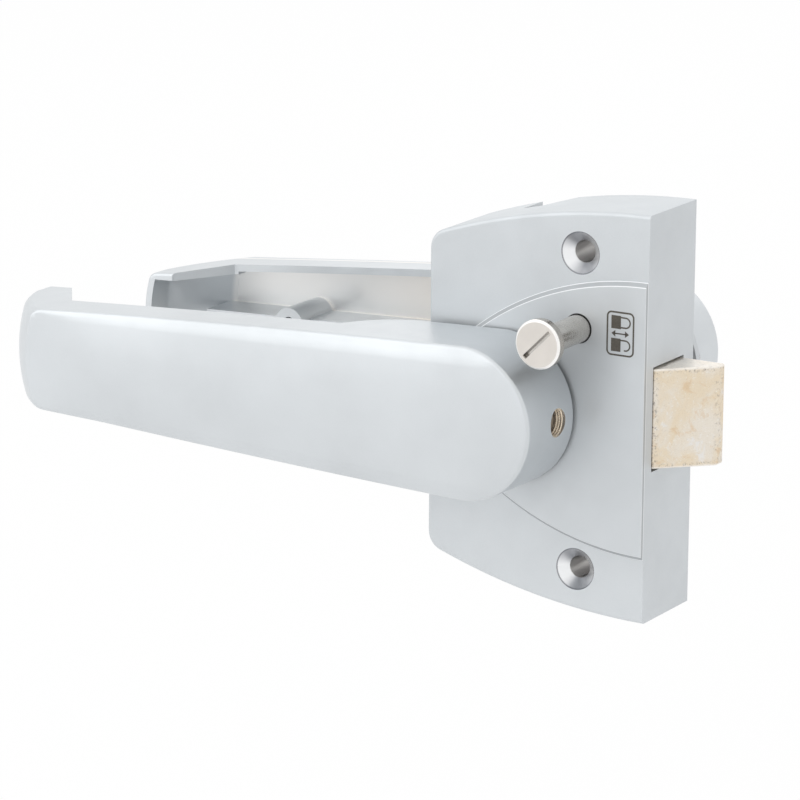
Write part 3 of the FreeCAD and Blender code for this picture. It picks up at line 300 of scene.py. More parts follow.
def bore_cut_and_painted_light(s, colour, rough, normal, centre, keep, radius):
    """Tool-cut metal round a bore, which runs along the axis that isn't kept, with painted highlight and shade by
    the angle round it.
    """
    sink = bool(keep[0])
    place = s.moved(centre)
    x, y, z = s.parts(place)
    away = s.reach(place, keep)
    mask = s.span(away, radius * 0.99, radius * 1.01, 1.0, 0.0)
    if not sink:
        mask = s.math("MULTIPLY", mask, s.span(x, *BORE_MOUTH))
    turned = s.math("MULTIPLY", s.math("SINE", s.math("MULTIPLY", away, TOOL_RINGS)), mask)
    # Painted highlight and painted shade, lighter and darker by the angle round the bore.
    turn = s.math("ARCTAN2", z, x if sink else y)
    streak = s.math("SINE", s.math("MULTIPLY_ADD", turn, 2.0, 0.9))
    tone = s.ramp(s.span(streak, -1, 1, smooth=False), [
        (0.10, (0.36, 0.37, 0.39)), (0.45, (0.62, 0.63, 0.65)), (0.85, (0.93, 0.94, 0.95))])
    if sink:
        # Painted warm reflection on the countersink's bore.
        bore = s.span(away, radius * 0.50, radius * 0.54, 1.0, 0.0)
        tone = s.mix(bore, tone, (0.62, 0.56, 0.49))
        # Painted shade round the countersink's rim.
        rim = s.math("MULTIPLY", s.span(away, radius * 0.93, radius * 0.97), mask)
        tone = s.mix(s.math("MULTIPLY", rim, 0.8), tone, (0.16, 0.17, 0.19))
    else:
        # Grub bores' mouths painted lighter and warmer, as painted light.
        tone = s.mix(0.75, tone, (0.95, 0.89, 0.80))
    return s.mix(mask, colour, tone), s.blend(mask, rough, 0.22), s.bump(turned, 0.14, 0.00001, normal)


def satin_silver(name, settings, bores=(), trough=None, shade=1.0, field=False, matte=0.0):
    """Satin plated die-casting.  bores are (centre, kept axes, radius), trough is a span of depths, shade darkens
    this copy as painted shade.
    """
    s = Shading(name)
    base = tint(tuple(settings.silver), shade)
    broad = s.noise(34, 3, 0.55)
    fine = s.noise(9000, 2, 0.6)
    grain = s.noise(2600, 3, 0.55)
    colour = s.ramp(broad, [(0.32, tint(base, 0.955)), (0.5, base), (0.7, tint(base, 1.035))])
    colour = s.mix(s.span(fine, 0.3, 0.7, 0.0, 0.08), colour, (0.93, 0.94, 0.95))
    colour = s.mix(s.span(grain, 0.62, 0.78, 0.0, 0.14), colour, tint(base, 0.8))
    rough = s.span(s.noise(160, 4, 0.6), 0.3, 0.7, 0.33 + matte, 0.41 + matte)
    if trough is not None:
        colour, rough = trough_light_and_gloss(s, colour, rough, trough)
    if field:
        colour = field_painted_light(s, colour, base)
    normal = s.bump(grain, 0.10, 0.00004)
    normal = s.bump(fine, 0.12, 0.00002, normal)
    for centre, keep, radius in bores:
        colour, rough, normal = bore_cut_and_painted_light(s, colour, rough, normal, centre, keep, radius)
    return s.surface(base_color=colour, metallic=0.80 - 1.5 * matte, roughness=rough, normal=normal)


def nickel_pin(name, settings):
    """Turned nickel silver: rings on the head's face, fine lines round the shank, painted shade on the head's side
    and in its slot, and a painted highlight round the face's rim.
    """
    s = Shading(name)
    base = tuple(settings.nickel)
    place = s.moved(PIN_CENTRE)
    radius = s.reach(place, (1, 0, 1))
    rings = s.math("SINE", s.math("MULTIPLY", radius, 52000))
    lines = s.noise(1, 2, 0.5, s.moved(PIN_CENTRE, (60, 9000, 60)))
    patch = s.noise(260, 3, 0.5)
    colour = s.ramp(patch, [(0.3, tint(base, 0.90)), (0.55, base), (0.75, tint(base, 1.07))])
    colour = s.mix(s.span(lines, 0.35, 0.7, 0.0, 0.25), colour, tint(base, 0.78))
    x, y, z = s.parts(s.coordinates)
    depth = s.math("SUBTRACT", y, PIN_LOW.y)
    face = s.span(depth, 0.1 * MM, 0.4 * MM, 1.0, 0.0)
    colour = s.mix(s.math("MULTIPLY", face, 0.6), colour, (0.74, 0.70, 0.655))
    flank = s.span(depth, 0.4 * MM, 0.6 * MM)
    # Painted shade on the side of the head.
    head = s.math("MULTIPLY", flank, s.span(radius, 5.0 * MM, 5.4 * MM))
    colour = s.mix(s.math("MULTIPLY", head, 0.55), colour, (0.36, 0.34, 0.31))
    # Painted shade in the slot, lighter towards +X as a painted reflection.
    slot = s.math("MULTIPLY", flank, s.span(depth, 1.3 * MM, 1.5 * MM, 1.0, 0.0))
    slot = s.math("MULTIPLY", slot, s.span(radius, 4.7 * MM, 4.9 * MM, 1.0, 0.0))
    slot = s.math("MULTIPLY", slot, s.span(x, PIN_CENTRE.x - 3 * MM, PIN_CENTRE.x + 3.5 * MM, 0.95, 0.25))
    colour = s.mix(slot, colour, (0.07, 0.06, 0.05))
    # Painted highlight round the rim of the head's face.
    edge = s.math("MULTIPLY", s.span(radius, 5.3 * MM, 5.6 * MM), s.math("SUBTRACT", 1.0, flank))
    colour = s.mix(edge, colour, (0.97, 0.96, 0.94))
    rough = s.blend(face, s.span(lines, 0.3, 0.7, 0.17, 0.30), 0.46)
    normal = s.bump(s.math("MULTIPLY", rings, face), 0.05, 0.00001)
    normal = s.bump(lines, 0.10, 0.00002, normal)
    return s.surface(base_color=colour, metallic=0.95, roughness=rough, normal=normal)


def tarnished_bolt(name, settings):
    """Nickel-plated bolt with tan tarnish on its bevel, fine pits, darker pitted edges, and a painted highlight
    along its upper and lower edges.
    """
    s = Shading(name)
    base = tuple(settings.bolt)
    cloud = s.noise(110, 3, 0.55, s.moved((0.004, 0, 0.002), (1.2, 1, 0.8)), 0.8)
    stain = s.noise(210, 4, 0.62, s.moved((0, 0.01, 0)), 0.5)
    speck = s.noise(3400, 3, 0.7)
    flake = s.noise(1500, 4, 0.7)
    pits = s.cells(2100)
    colour = s.mix(s.span(cloud, 0.40, 0.62), base, (0.81, 0.70, 0.54))
    colour = s.mix(s.span(stain, 0.55, 0.68, 0.0, 0.55), colour, (0.72, 0.52, 0.31))
    colour = s.mix(s.span(stain, 0.30, 0.44, 0.8, 0.0), colour, (0.84, 0.82, 0.80))
    colour = s.mix(s.span(flake, 0.56, 0.70, 0.0, 0.55), colour, (0.92, 0.90, 0.86))
    colour = s.mix(s.span(speck, 0.54, 0.74, 0.0, 0.40), colour, (0.50, 0.43, 0.35))
    x, y, z = s.parts(s.coordinates)
    side = s.math("ABSOLUTE", z)
    half = abs(BOLT_LOW.z)
    rim = s.span(side, half - 1.6 * MM, half - 0.5 * MM)
    root = s.span(x, CASE_HIGH.x + 0.2 * MM, CASE_HIGH.x + 1.2 * MM, 1.0, 0.0)
    tip = s.span(x, BOLT_HIGH.x - 1.2 * MM, BOLT_HIGH.x - 0.3 * MM)
    edge = s.math("MAXIMUM", s.math("MAXIMUM", rim, root), s.math("MULTIPLY", tip, 0.45))
    # Darker and pitted along the top and bottom edges, next to the case and at the tip.
    dark_pitted_edges = s.math("MULTIPLY", edge, s.span(s.noise(1300, 4, 0.7), 0.50, 0.64))
    colour = s.mix(s.math("MULTIPLY", dark_pitted_edges, 0.70), colour, (0.24, 0.20, 0.17))
    # Painted highlight along the bolt's upper and lower edges.
    bright = s.math("MULTIPLY", s.span(side, half - 0.7 * MM, half - 0.2 * MM), 0.7)
    colour = s.mix(bright, colour, (0.92, 0.89, 0.84))
    rough = s.span(s.noise(700, 3, 0.6), 0.3, 0.7, 0.34, 0.52)
    normal = s.bump(s.span(pits, 0.0, 0.35), 0.22, 0.00004)
    normal = s.bump(speck, 0.25, 0.00003, normal)
    return s.surface(base_color=colour, metallic=0.8, roughness=rough, normal=normal)


def plated_steel(name, base, rough_low=0.24, rough_high=0.38, streak=(40, 40, 3000)):
    """Zinc-plated or drawn steel with fine streaks."""
    s = Shading(name)
    lines = s.noise(1, 3, 0.55, s.moved((0, 0, 0), streak))
    cloud = s.noise(120, 4, 0.6)
    speck = s.cells(700)
    colour = s.ramp(cloud, [(0.3, tint(base, 0.84)), (0.55, base), (0.75, tint(base, 1.1))])
    colour = s.mix(s.span(lines, 0.35, 0.7, 0.0, 0.25), colour, tint(base, 0.72))
    colour = s.mix(s.span(speck, 0.0, 0.25, 0.12, 0.0), colour, (0.9, 0.9, 0.88))
    rough = s.span(lines, 0.3, 0.7, rough_low, rough_high)
    return s.surface(base_color=colour, metallic=0.95, roughness=rough,
                     normal=s.bump(lines, 0.12, 0.00002))


def turned_brass(name, settings):
    s = Shading(name)
    base = tuple(settings.brass)
    radius = s.reach(s.moved(SPINDLE), (1, 0, 1))
    rings = s.math("SINE", s.math("MULTIPLY", radius, 30000))
    cloud = s.noise(260, 4, 0.6)
    colour = s.ramp(cloud, [(0.3, tint(base, 0.75)), (0.55, base), (0.8, tint(base, 1.15))])
    return s.surface(base_color=colour, metallic=0.95, roughness=s.span(cloud, 0.3, 0.7, 0.24, 0.40),
                     normal=s.bump(rings, 0.10, 0.00001))


def ring_rubber(name):
    s = Shading(name)
    dust = s.noise(1400, 4, 0.6)
    colour = s.ramp(dust, [(0.4, (0.018, 0.018, 0.019)), (0.75, (0.07, 0.07, 0.072))])
    return s.surface(base_color=colour, roughness=s.span(dust, 0.3, 0.7, 0.55, 0.75),
                     normal=s.bump(dust, 0.25, 0.00003))


def sign_print(name, settings):
    """Etched brown-grey lines of the sign."""
    s = Shading(name)
    base = tuple(settings.sign)
    wear = s.noise(2500, 4, 0.65)
    colour = s.ramp(wear, [(0.3, tint(base, 0.8)), (0.55, base), (0.8, tint(base, 1.5))])
    return s.surface(base_color=colour, metallic=0.3, roughness=s.span(wear, 0.3, 0.7, 0.42, 0.6),
                     normal=s.bump(wear, 0.2, 0.00002))


def white_stage(name):
    """Near-white floor: mostly plain white to the camera, with a faint shadow of the lock."""
    s = Shading(name)
    dust = s.noise(3, 2, 0.5)
    base = s.ramp(dust, [(0.3, (0.90, 0.90, 0.90)), (0.7, (0.93, 0.93, 0.93))])
    matte = s.add("ShaderNodeBsdfDiffuse")
    s.put(matte.inputs["Color"], base)
    glow = s.add("ShaderNodeEmission")
    s.put(glow.inputs["Color"], (1, 1, 1, 1))
    s.put(glow.inputs["Strength"], 1.0)
    path = s.add("ShaderNodeLightPath")
    seen = s.math("MAXIMUM", path.outputs["Is Camera Ray"], path.outputs["Is Transmission Ray"])
    seen = s.math("MAXIMUM", seen, path.outputs["Is Glossy Ray"])
    mix = s.add("ShaderNodeMixShader")
    s.put(mix.inputs["Fac"], s.math("MULTIPLY", seen, 0.95))
    s.tree.links.new(matte.outputs[0], mix.inputs[1])
    s.tree.links.new(glow.outputs[0], mix.inputs[2])
    s.tree.links.new(mix.outputs[0], s.output.inputs["Surface"])
    return s.material


def dress(node, material):
    """Gives a frame node its finish."""
    mesh = frame["nodes"][node].data
    mesh.materials.clear()
    mesh.materials.append(material)


def new_object(name, mesh, material=None):
    old = bpy.data.objects.get(name)
    if old:
        bpy.data.objects.remove(old)
    thing = bpy.data.objects.new(name, mesh)
    bpy.context.scene.collection.objects.link(thing)
    if material is not None:
        mesh.materials.clear()
        mesh.materials.append(material)
    return thing


def stroke(points, width, closed=False):
    """Outline polygons of a flat line: returns its left and right edges."""
    left, right = [], []
    count = len(points)
    for index, point in enumerate(points):
        before = points[index - 1] if closed or index else point
        after = points[(index + 1) % count] if closed or index < count - 1 else point
        way = Vector((after[0] - before[0], after[1] - before[1])).normalized()
        side = Vector((-way.y, way.x)) * width / 2
        left.append((point[0] + side.x, point[1] + side.y))
        right.append((point[0] - side.x, point[1] - side.y))
    return left, right


def arc_points(x, z, radius, start, end, steps):
    """Points on a circle from one angle to another, in degrees."""
    angles = [math.radians(start + (end - start) * i / steps) for i in range(steps + 1)]
    return [(x + radius * math.cos(a), z + radius * math.sin(a)) for a in angles]


class FlatSign:
    """A thin sign on a plane that faces -Y, made of strips and filled shapes."""

    def __init__(self, centre, thick):
        self.centre = centre
        self.thick = thick
        self.bm = bmesh.new()

    def vertex(self, point, front):
        depth = -self.thick if front else 0.0
        place = (self.centre.x + point[0], self.centre.y + depth, self.centre.z + point[1])
        return self.bm.verts.new(place)

    def strip(self, points, width, closed=False):
        left, right = stroke(points, width, closed)
        rows = [[self.vertex(a, True), self.vertex(b, True), self.vertex(b, False), self.vertex(a, False)]
                for a, b in zip(left, right)]
        pairs = list(zip(rows, rows[1:] + rows[:1])) if closed else list(zip(rows, rows[1:]))
        for one, two in pairs:
            for k in range(4):
                m = (k + 1) % 4
                self.bm.faces.new((one[k], one[m], two[m], two[k]))
        if not closed:
            self.bm.faces.new(rows[0])
            self.bm.faces.new(list(reversed(rows[-1])))

    def shape(self, corners):
        front = [self.vertex(c, True) for c in corners]
        back = [self.vertex(c, False) for c in corners]
        self.bm.faces.new(front)
        self.bm.faces.new(list(reversed(back)))
        for k in range(len(corners)):
            m = (k + 1) % len(corners)
            self.bm.faces.new((front[k], back[k], back[m], front[m]))

    def mesh(self, name):
        bmesh.ops.recalc_face_normals(self.bm, faces=self.bm.faces)
        mesh = bpy.data.meshes.new(name)
        self.bm.to_mesh(mesh)
        self.bm.free()
        return mesh


def thread_tree(name, material):
    """Geometry nodes: a row of thread crests along X, each a thin ring."""
    tree = bpy.data.node_groups.new(name, "GeometryNodeTree")
    tree.interface.new_socket("Geometry", in_out="INPUT", socket_type="NodeSocketGeometry")
    for label in ("Radius", "Crest", "Pitch", "Start"):
        tree.interface.new_socket(label, in_out="INPUT", socket_type="NodeSocketFloat")
    tree.interface.new_socket("Turns", in_out="INPUT", socket_type="NodeSocketInt")
    tree.interface.new_socket("Geometry", in_out="OUTPUT", socket_type="NodeSocketGeometry")
    nodes, links = tree.nodes, tree.links
    entry = nodes.new("NodeGroupInput")
    leave = nodes.new("NodeGroupOutput")
    step = nodes.new("ShaderNodeCombineXYZ")
    links.new(entry.outputs["Pitch"], step.inputs["X"])
    first = nodes.new("ShaderNodeCombineXYZ")
    links.new(entry.outputs["Start"], first.inputs["X"])
    line = nodes.new("GeometryNodeMeshLine")
    links.new(entry.outputs["Turns"], line.inputs["Count"])
    links.new(first.outputs[0], line.inputs["Start Location"])
    links.new(step.outputs[0], line.inputs["Offset"])
    ring = nodes.new("GeometryNodeCurvePrimitiveCircle")
    ring.inputs["Resolution"].default_value = 40
    links.new(entry.outputs["Radius"], ring.inputs["Radius"])
    crest = nodes.new("GeometryNodeCurvePrimitiveCircle")
    crest.inputs["Resolution"].default_value = 6
    links.new(entry.outputs["Crest"], crest.inputs["Radius"])
    sweep = nodes.new("GeometryNodeCurveToMesh")
    links.new(ring.outputs["Curve"], sweep.inputs["Curve"])
    links.new(crest.outputs["Curve"], sweep.inputs["Profile Curve"])
    place = nodes.new("GeometryNodeInstanceOnPoints")
    links.new(line.outputs["Mesh"], place.inputs["Points"])
    links.new(sweep.outputs["Mesh"], place.inputs["Instance"])
    place.inputs["Rotation"].default_value = (0, math.pi / 2, 0)
    real = nodes.new("GeometryNodeRealizeInstances")
    links.new(place.outputs["Instances"], real.inputs["Geometry"])
    finish = nodes.new("GeometryNodeSetMaterial")
    finish.inputs["Material"].default_value = material
    links.new(real.outputs[0], finish.inputs["Geometry"])
    links.new(finish.outputs[0], leave.inputs["Geometry"])
    return tree


def grown(name, tree, sizes, place, material):
    """The plain mesh that a node tree makes, moved to its place."""
    holder = new_object(name + "_seed", bpy.data.meshes.new(name + "_seed"))
    modifier = holder.modifiers.new("grow", "NODES")
    modifier.node_group = tree
    for item in tree.interface.items_tree:
        if item.in_out == "INPUT" and item.name in sizes:
            modifier[item.identifier] = sizes[item.name]
    bpy.context.view_layer.update()
    evaluated = holder.evaluated_get(bpy.context.evaluated_depsgraph_get())
    mesh = bpy.data.meshes.new_from_object(evaluated)
    bpy.data.objects.remove(holder)
    mesh.transform(place)
    for polygon in mesh.polygons:
        polygon.use_smooth = True
    return new_object(name, mesh, material)


def soft_normals(thing, sharp):
    """Smooth shading that keeps large faces flat and edges above an angle sharp."""
    bm = bmesh.new()
    bm.from_mesh(thing.data)
    for face in bm.faces:
        face.smooth = True
    for edge in bm.edges:
        edge.smooth = edge.is_manifold and edge.calc_face_angle(0.0) < sharp
    bm.to_mesh(thing.data)
    bm.free()
    modifier = thing.modifiers.new("soft_normals", "WEIGHTED_NORMAL")
    modifier.keep_sharp = True
    bpy.context.view_layer.update()
    evaluated = thing.evaluated_get(bpy.context.evaluated_depsgraph_get())
    mesh = bpy.data.meshes.new_from_object(evaluated)
    thing.modifiers.clear()
    thing.data = mesh


# Depths behind a lever's outer face: the face itself, the round at its rim, and the flank that follows.
FLAT = 0.001 * MM
ROUND_DEPTH = 0.85 * MM
FLANK_DEPTH = 6 * MM
RIM_SHARE = 0.93
CROWN_FADE = 26 * MM
COLUMN_STEP = 3.4 * MM
COLUMNS = 47


def cut_front(bm, outer, depth, place, normal):
    """Cuts, along a plane, the faces that lie within a depth of the lever's outer face."""
    faces = [f for f in bm.faces if all(abs(v.co.y - outer) < depth for v in f.verts)]
    edges = {e for f in faces for e in f.edges}
    verts = {v for f in faces for v in f.verts}
    bmesh.ops.bisect_plane(bm, geom=[*verts, *edges, *faces], plane_co=place, plane_no=normal, dist=1e-8)


def crowned(node, name, sizes):
    """Copy of a lever whose flat outer face is pulled in towards its rims, as the real casting's is."""
    bm = bmesh.new()
    bm.from_mesh(frame["nodes"][node].data)
    bmesh.ops.remove_doubles(bm, verts=bm.verts, dist=1e-7)
    way = 1 if node == "front_lever" else -1
    outer = way * min(way * v.co.y for v in bm.verts)
    head, tip = SPINDLE.x, min(v.co.x for v in bm.verts)
    middle = SPINDLE.z
    half = max(abs(v.co.z - middle) for v in bm.verts)
    flat_end = tip + sizes.tip_front

    # A fan of cuts from tip to head, whose last lines before the rims bound the bevels, then columns.
    flat = [f for f in bm.faces if all(abs(v.co.y - outer) < FLAT for v in f.verts)]
    bmesh.ops.dissolve_faces(bm, faces=flat)
    head_line, tip_line = half - sizes.bevel, sizes.tip_half - 0.8 * MM
    bevel_share = sizes.bevel / head_line
    levels = [k / 10 for k in range(1, 11)] + [1.0 + 0.35 * bevel_share, 1.0 + 0.7 * bevel_share]
    for side in (1, -1):
        for level in levels:
            rise = side * level * (head_line - tip_line) / (head - tip)
            cut_front(bm, outer, FLAT, (head, 0, middle + side * level * head_line), (-rise, 0, 1))
    cut_front(bm, outer, FLAT, (head, 0, middle), (0, 0, 1))
    for k in range(1, COLUMNS + 1):
        cut_front(bm, outer, ROUND_DEPTH, (flat_end + k * COLUMN_STEP, 0, 0), (1, 0, 0))

    for vertex in bm.verts:
        x, y, z = vertex.co
        under = abs(y - outer) - ROUND_DEPTH
        if under > FLANK_DEPTH:
            continue
        up = abs(z - middle)
        share = (x - tip) / (head - tip)
        if x > head:
            swell = math.hypot(x - head, up) / half
        else:
            swell = up / (sizes.tip_half + (half - sizes.tip_half) * share)
        if under > 0 and swell < RIM_SHARE:
            continue
        line = tip_line + (head_line - tip_line) * share
        fade = min(1.0, max(0.0, (x - flat_end) / CROWN_FADE))
        fade = fade * fade * (3 - 2 * fade)
        depth = sizes.crown * swell ** 2 + sizes.bevel_slope * max(0.0, up - line)
        hold = 1 - max(0.0, under) / FLANK_DEPTH
        vertex.co.y += way * fade * hold * depth
    mesh = bpy.data.meshes.new(name)
    bmesh.ops.triangulate(bm, faces=[f for f in bm.faces if len(f.verts) > 4])
    bm.to_mesh(mesh)
    bm.free()
    mesh.materials.append(frame["nodes"][node].data.materials[0])
    thing = new_object(name, mesh)
    soft_normals(thing, math.radians(28))
    return thing


class LockFinish(bpy.types.PropertyGroup):
    """Colours of the lock's metals."""

    silver: bpy.props.FloatVectorProperty(
        name="Silver", description="Satin plating of the case, levers and rose",
        subtype="COLOR", size=3, min=0, max=1, default=(0.640, 0.669, 0.690))
    nickel: bpy.props.FloatVectorProperty(
        name="Nickel", description="Turned metal of the locking pin",
        subtype="COLOR", size=3, min=0, max=1, default=(0.61, 0.585, 0.55))
    bolt: bpy.props.FloatVectorProperty(
        name="Bolt", description="Plating of the latch bolt",
        subtype="COLOR", size=3, min=0, max=1, default=(0.82, 0.76, 0.67))
    brass: bpy.props.FloatVectorProperty(
        name="Brass", description="Bushes",
        subtype="COLOR", size=3, min=0, max=1, default=(0.68, 0.52, 0.27))
    sign: bpy.props.FloatVectorProperty(
        name="Sign", description="Etched lines of the sign",
        subtype="COLOR", size=3, min=0, max=1, default=(0.105, 0.095, 0.080))


class LockSign(bpy.types.PropertyGroup):
    """Sizes of the locked and unlocked sign beside the pin."""

    width: bpy.props.FloatProperty(
        name="Width", description="Width of the frame", unit="LENGTH", default=7.4 * MM)
    height: bpy.props.FloatProperty(
        name="Height", description="Height of the frame", unit="LENGTH", default=10.8 * MM)
    line: bpy.props.FloatProperty(
        name="Line", description="Width of the lines", unit="LENGTH", default=0.42 * MM)
    from_bolt_side: bpy.props.FloatProperty(
        name="From bolt side", description="Distance of its middle from the case's bolt side",
        unit="LENGTH", default=6.6 * MM)


class LockLever(bpy.types.PropertyGroup):
    """Soft shape of the levers' outer faces."""

    crown: bpy.props.FloatProperty(
        name="Crown", description="How far the rims lie behind the middle",
        unit="LENGTH", default=0.85 * MM)
    bevel: bpy.props.FloatProperty(
        name="Bevel", description="Width of the bevel at the head", unit="LENGTH", default=3.2 * MM)
    bevel_slope: bpy.props.FloatProperty(
        name="Bevel slope", description="Fall of the bevel for each unit of its width", default=0.30)
    tip_half: bpy.props.FloatProperty(
        name="Tip half height", description="Half height of the grip's tip", unit="LENGTH", default=12 * MM)
    tip_front: bpy.props.FloatProperty(
        name="Tip front", description="Length of the curled tip", unit="LENGTH", default=14 * MM)


class LockStage(bpy.types.PropertyGroup):
    """Camera, light and floor."""

    lens: bpy.props.FloatProperty(
        name="Lens", description="Focal length", unit="CAMERA", default=196.5)
    floor_drop: bpy.props.FloatProperty(
        name="Floor drop", description="Room between the lock and the floor", unit="LENGTH", default=0.10)
    sky: bpy.props.FloatProperty(
        name="Surround", description="Strength of the soft surround", default=0.74)
    key: bpy.props.FloatProperty(
        name="Key light", description="Power of the large soft light", unit="POWER", default=5.0)


class LOCK_OT_castings(bpy.types.Operator):
    """Finish the case and the rose, and crown and finish the levers"""

    bl_idname = "door_lock.castings"
    bl_label = "Castings"

    def execute(self, context):
        settings = context.scene.lock_finish
        sinks = [(Vector((0, 0, sign * SCREW_SPACING / 2)), (1, 0, 1), 5.22 * MM) for sign in (1, -1)]
        # Painted shade: the case's copy of the silver is 2 per cent darker and the rose's 12 per cent.
        dress("case_shell", satin_silver("satin_silver_case", settings, sinks, None, 0.98, True, 0.12))
        dress("outside_rose", satin_silver("satin_silver_rose", settings, (), None, 0.88))
        bores = [[((low + high) / 2, (0, 1, 1), 3.56 * MM)]
                 for low, high in (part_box("front_grub_screw"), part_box("rear_grub_screw"))]
        trough = (REAR_HIGH.y - 4.2 * MM, REAR_HIGH.y - 3.0 * MM)
        finishes = {
            "front_lever": satin_silver("satin_silver_front", settings, bores[0]),
            "rear_lever": satin_silver("satin_silver_rear", settings, bores[1], trough),
        }
        for node, material in finishes.items():
            dress(node, material)
            piece = crowned(node, node.replace("lever", "handle"), context.scene.lock_lever)
            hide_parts(node)
            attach(piece, "levers")
        return {"FINISHED"}


class LOCK_OT_bolt(bpy.types.Operator):
    """Finish the latch bolt in stained nickel"""

    bl_idname = "door_lock.bolt"
    bl_label = "Latch bolt"

    def execute(self, context):
        dress("latch_bolt", tarnished_bolt("stained_nickel", context.scene.lock_finish))
        return {"FINISHED"}


class LOCK_OT_pin(bpy.types.Operator):
    """Finish the locking pin and its ring"""

    bl_idname = "door_lock.pin"
    bl_label = "Locking pin"

    def execute(self, context):
        dress("locking_pin", nickel_pin("turned_nickel", context.scene.lock_finish))
        dress("pin_friction_ring", ring_rubber("ring_rubber"))
        dress("pin_stop_screw", plated_steel("stop_screw_steel", (0.56, 0.56, 0.57)))
        return {"FINISHED"}


class LOCK_OT_works(bpy.types.Operator):
    """Finish the hub, spindle, slide, springs, bushes and back plate, and seat the bolt spring"""

    bl_idname = "door_lock.works"
    bl_label = "Inner works"

    def execute(self, context):
        zinc = plated_steel("zinc_steel", (0.62, 0.63, 0.64))
        drawn = plated_steel("drawn_steel", (0.60, 0.60, 0.61), 0.20, 0.34, (3000, 30, 3000))
        wire = plated_steel("spring_wire", (0.42, 0.42, 0.43), 0.16, 0.28)
        brass = turned_brass("turned_brass", context.scene.lock_finish)
        for node in ("back_plate", "hub", "retractor"):
            dress(node, zinc)
        dress("spindle", drawn)
        for node in ("bolt_spring", "return_spring"):
            dress(node, wire)
        # The CAD's spring doesn't follow the slide; this copy ends inside the case, so it never shows.
        low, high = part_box("bolt_spring")
        mesh = frame["nodes"]["bolt_spring"].data.copy()
        share = (CASE_HIGH.x - SPRING_INSET - low.x) / (high.x - low.x)
        anchor = Matrix.Translation((low.x, 0, 0))
        mesh.transform(anchor @ Matrix.Diagonal((share, 1, 1, 1)) @ anchor.inverted())
        spring = new_object("bolt_spring_seated", mesh, wire)
        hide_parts("bolt_spring")
        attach(spring, "case")
        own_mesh(spring)
        for node in ("front_bush", "rear_bush", "rose_bush"):
            dress(node, brass)
        for number in range(1, 5):
            dress("back_plate_screw_%d" % number, drawn)
        return {"FINISHED"}


class LOCK_OT_grub_screws(bpy.types.Operator):
    """Finish the grub screws"""

    bl_idname = "door_lock.grub_screws"
    bl_label = "Grub screws"

    def execute(self, context):
        black = plated_steel("blackened_steel", (0.42, 0.36, 0.30), 0.28, 0.42)
        for node in ("front_grub_screw", "rear_grub_screw"):
            dress(node, black)
        return {"FINISHED"}


class LOCK_OT_sign(bpy.types.Operator):
    """Draw the locked and unlocked sign beside the pin"""

    bl_idname = "door_lock.sign"
    bl_label = "Sign"

    def execute(self, context):
        sizes = context.scene.lock_sign
        material = sign_print("sign_print", context.scene.lock_finish)
        centre = Vector((CASE_HIGH.x - sizes.from_bolt_side, CASE_LOW.y, PIN_CENTRE.z + 0.1 * MM))
        sign = FlatSign(centre, 0.03 * MM)
        half_w = (sizes.width - sizes.line) / 2
        half_h = (sizes.height - sizes.line) / 2
        corner = 1.1 * MM
        outline = []
        for sx, sz, start in ((1, 1, 0), (-1, 1, 90), (-1, -1, 180), (1, -1, 270)):
            outline += arc_points(sx * (half_w - corner), sz * (half_h - corner), corner,
                                  start, start + 90, 8)
        sign.strip(outline, sizes.line, True)
        left = -half_w + 1.05 * MM
        body = 2.55 * MM
        for level, open_end in ((2.78 * MM, False), (-2.75 * MM, True)):
            tall = 1.60 * MM
            sign.shape([(left, level - tall), (left + body, level - tall),
                        (left + body, level + tall), (left, level + tall)])
            x = left + body
            loop = 1.22 * MM
            end = -90 if not open_end else -105
            bow = [(x - 0.02 * MM, level + loop)]
            bow += arc_points(x + 1.25 * MM, level, loop, 90, end, 16)
            if not open_end:
                bow.append((x - 0.02 * MM, level - loop))
            sign.strip(bow, sizes.line * 0.86)
        level = 0.02 * MM
        first, last = left + 0.05 * MM, left + 4.75 * MM
        sign.strip([(first + 0.7 * MM, level), (last - 0.7 * MM, level)], sizes.line * 0.75)
        for tip, way in ((first, 1), (last, -1)):
            head = [(tip, level), (tip + way * 1.05 * MM, level - 0.80 * MM),
                    (tip + way * 1.05 * MM, level + 0.80 * MM)]
            sign.shape(head if way > 0 else list(reversed(head)))
        piece = new_object("lock_sign", sign.mesh("lock_sign"), material)
        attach(piece, "case")
        return {"FINISHED"}


class LOCK_OT_threads(bpy.types.Operator):
    """Cut thread crests into the mouths of the grub-screw bores"""

    bl_idname = "door_lock.threads"
    bl_label = "Threads"

    def execute(self, context):
        # The crests are painted lighter and warmer than the lever's silver, as painted light inside the bore.
        steel = plated_steel("thread_steel", (0.90, 0.80, 0.66), 0.20, 0.32)
        tree = thread_tree("thread_crests", steel)
        for name in ("front_grub_screw", "rear_grub_screw"):
            low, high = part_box(name)
            centre = (low + high) / 2
            place = Matrix.Translation(Vector((high.x, centre.y, centre.z)))
            sizes = {"Radius": 3.42 * MM, "Crest": 0.16 * MM, "Pitch": 0.7 * MM,
                     "Start": 0.35 * MM, "Turns": 3}
            piece = grown(name.replace("grub_screw", "bore_thread"), tree, sizes, place, steel)
            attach(piece, "levers")
        return {"FINISHED"}


# Share of the plain white background in the light that all other rays get from the surround.
WHITE_SHARE = 0.5


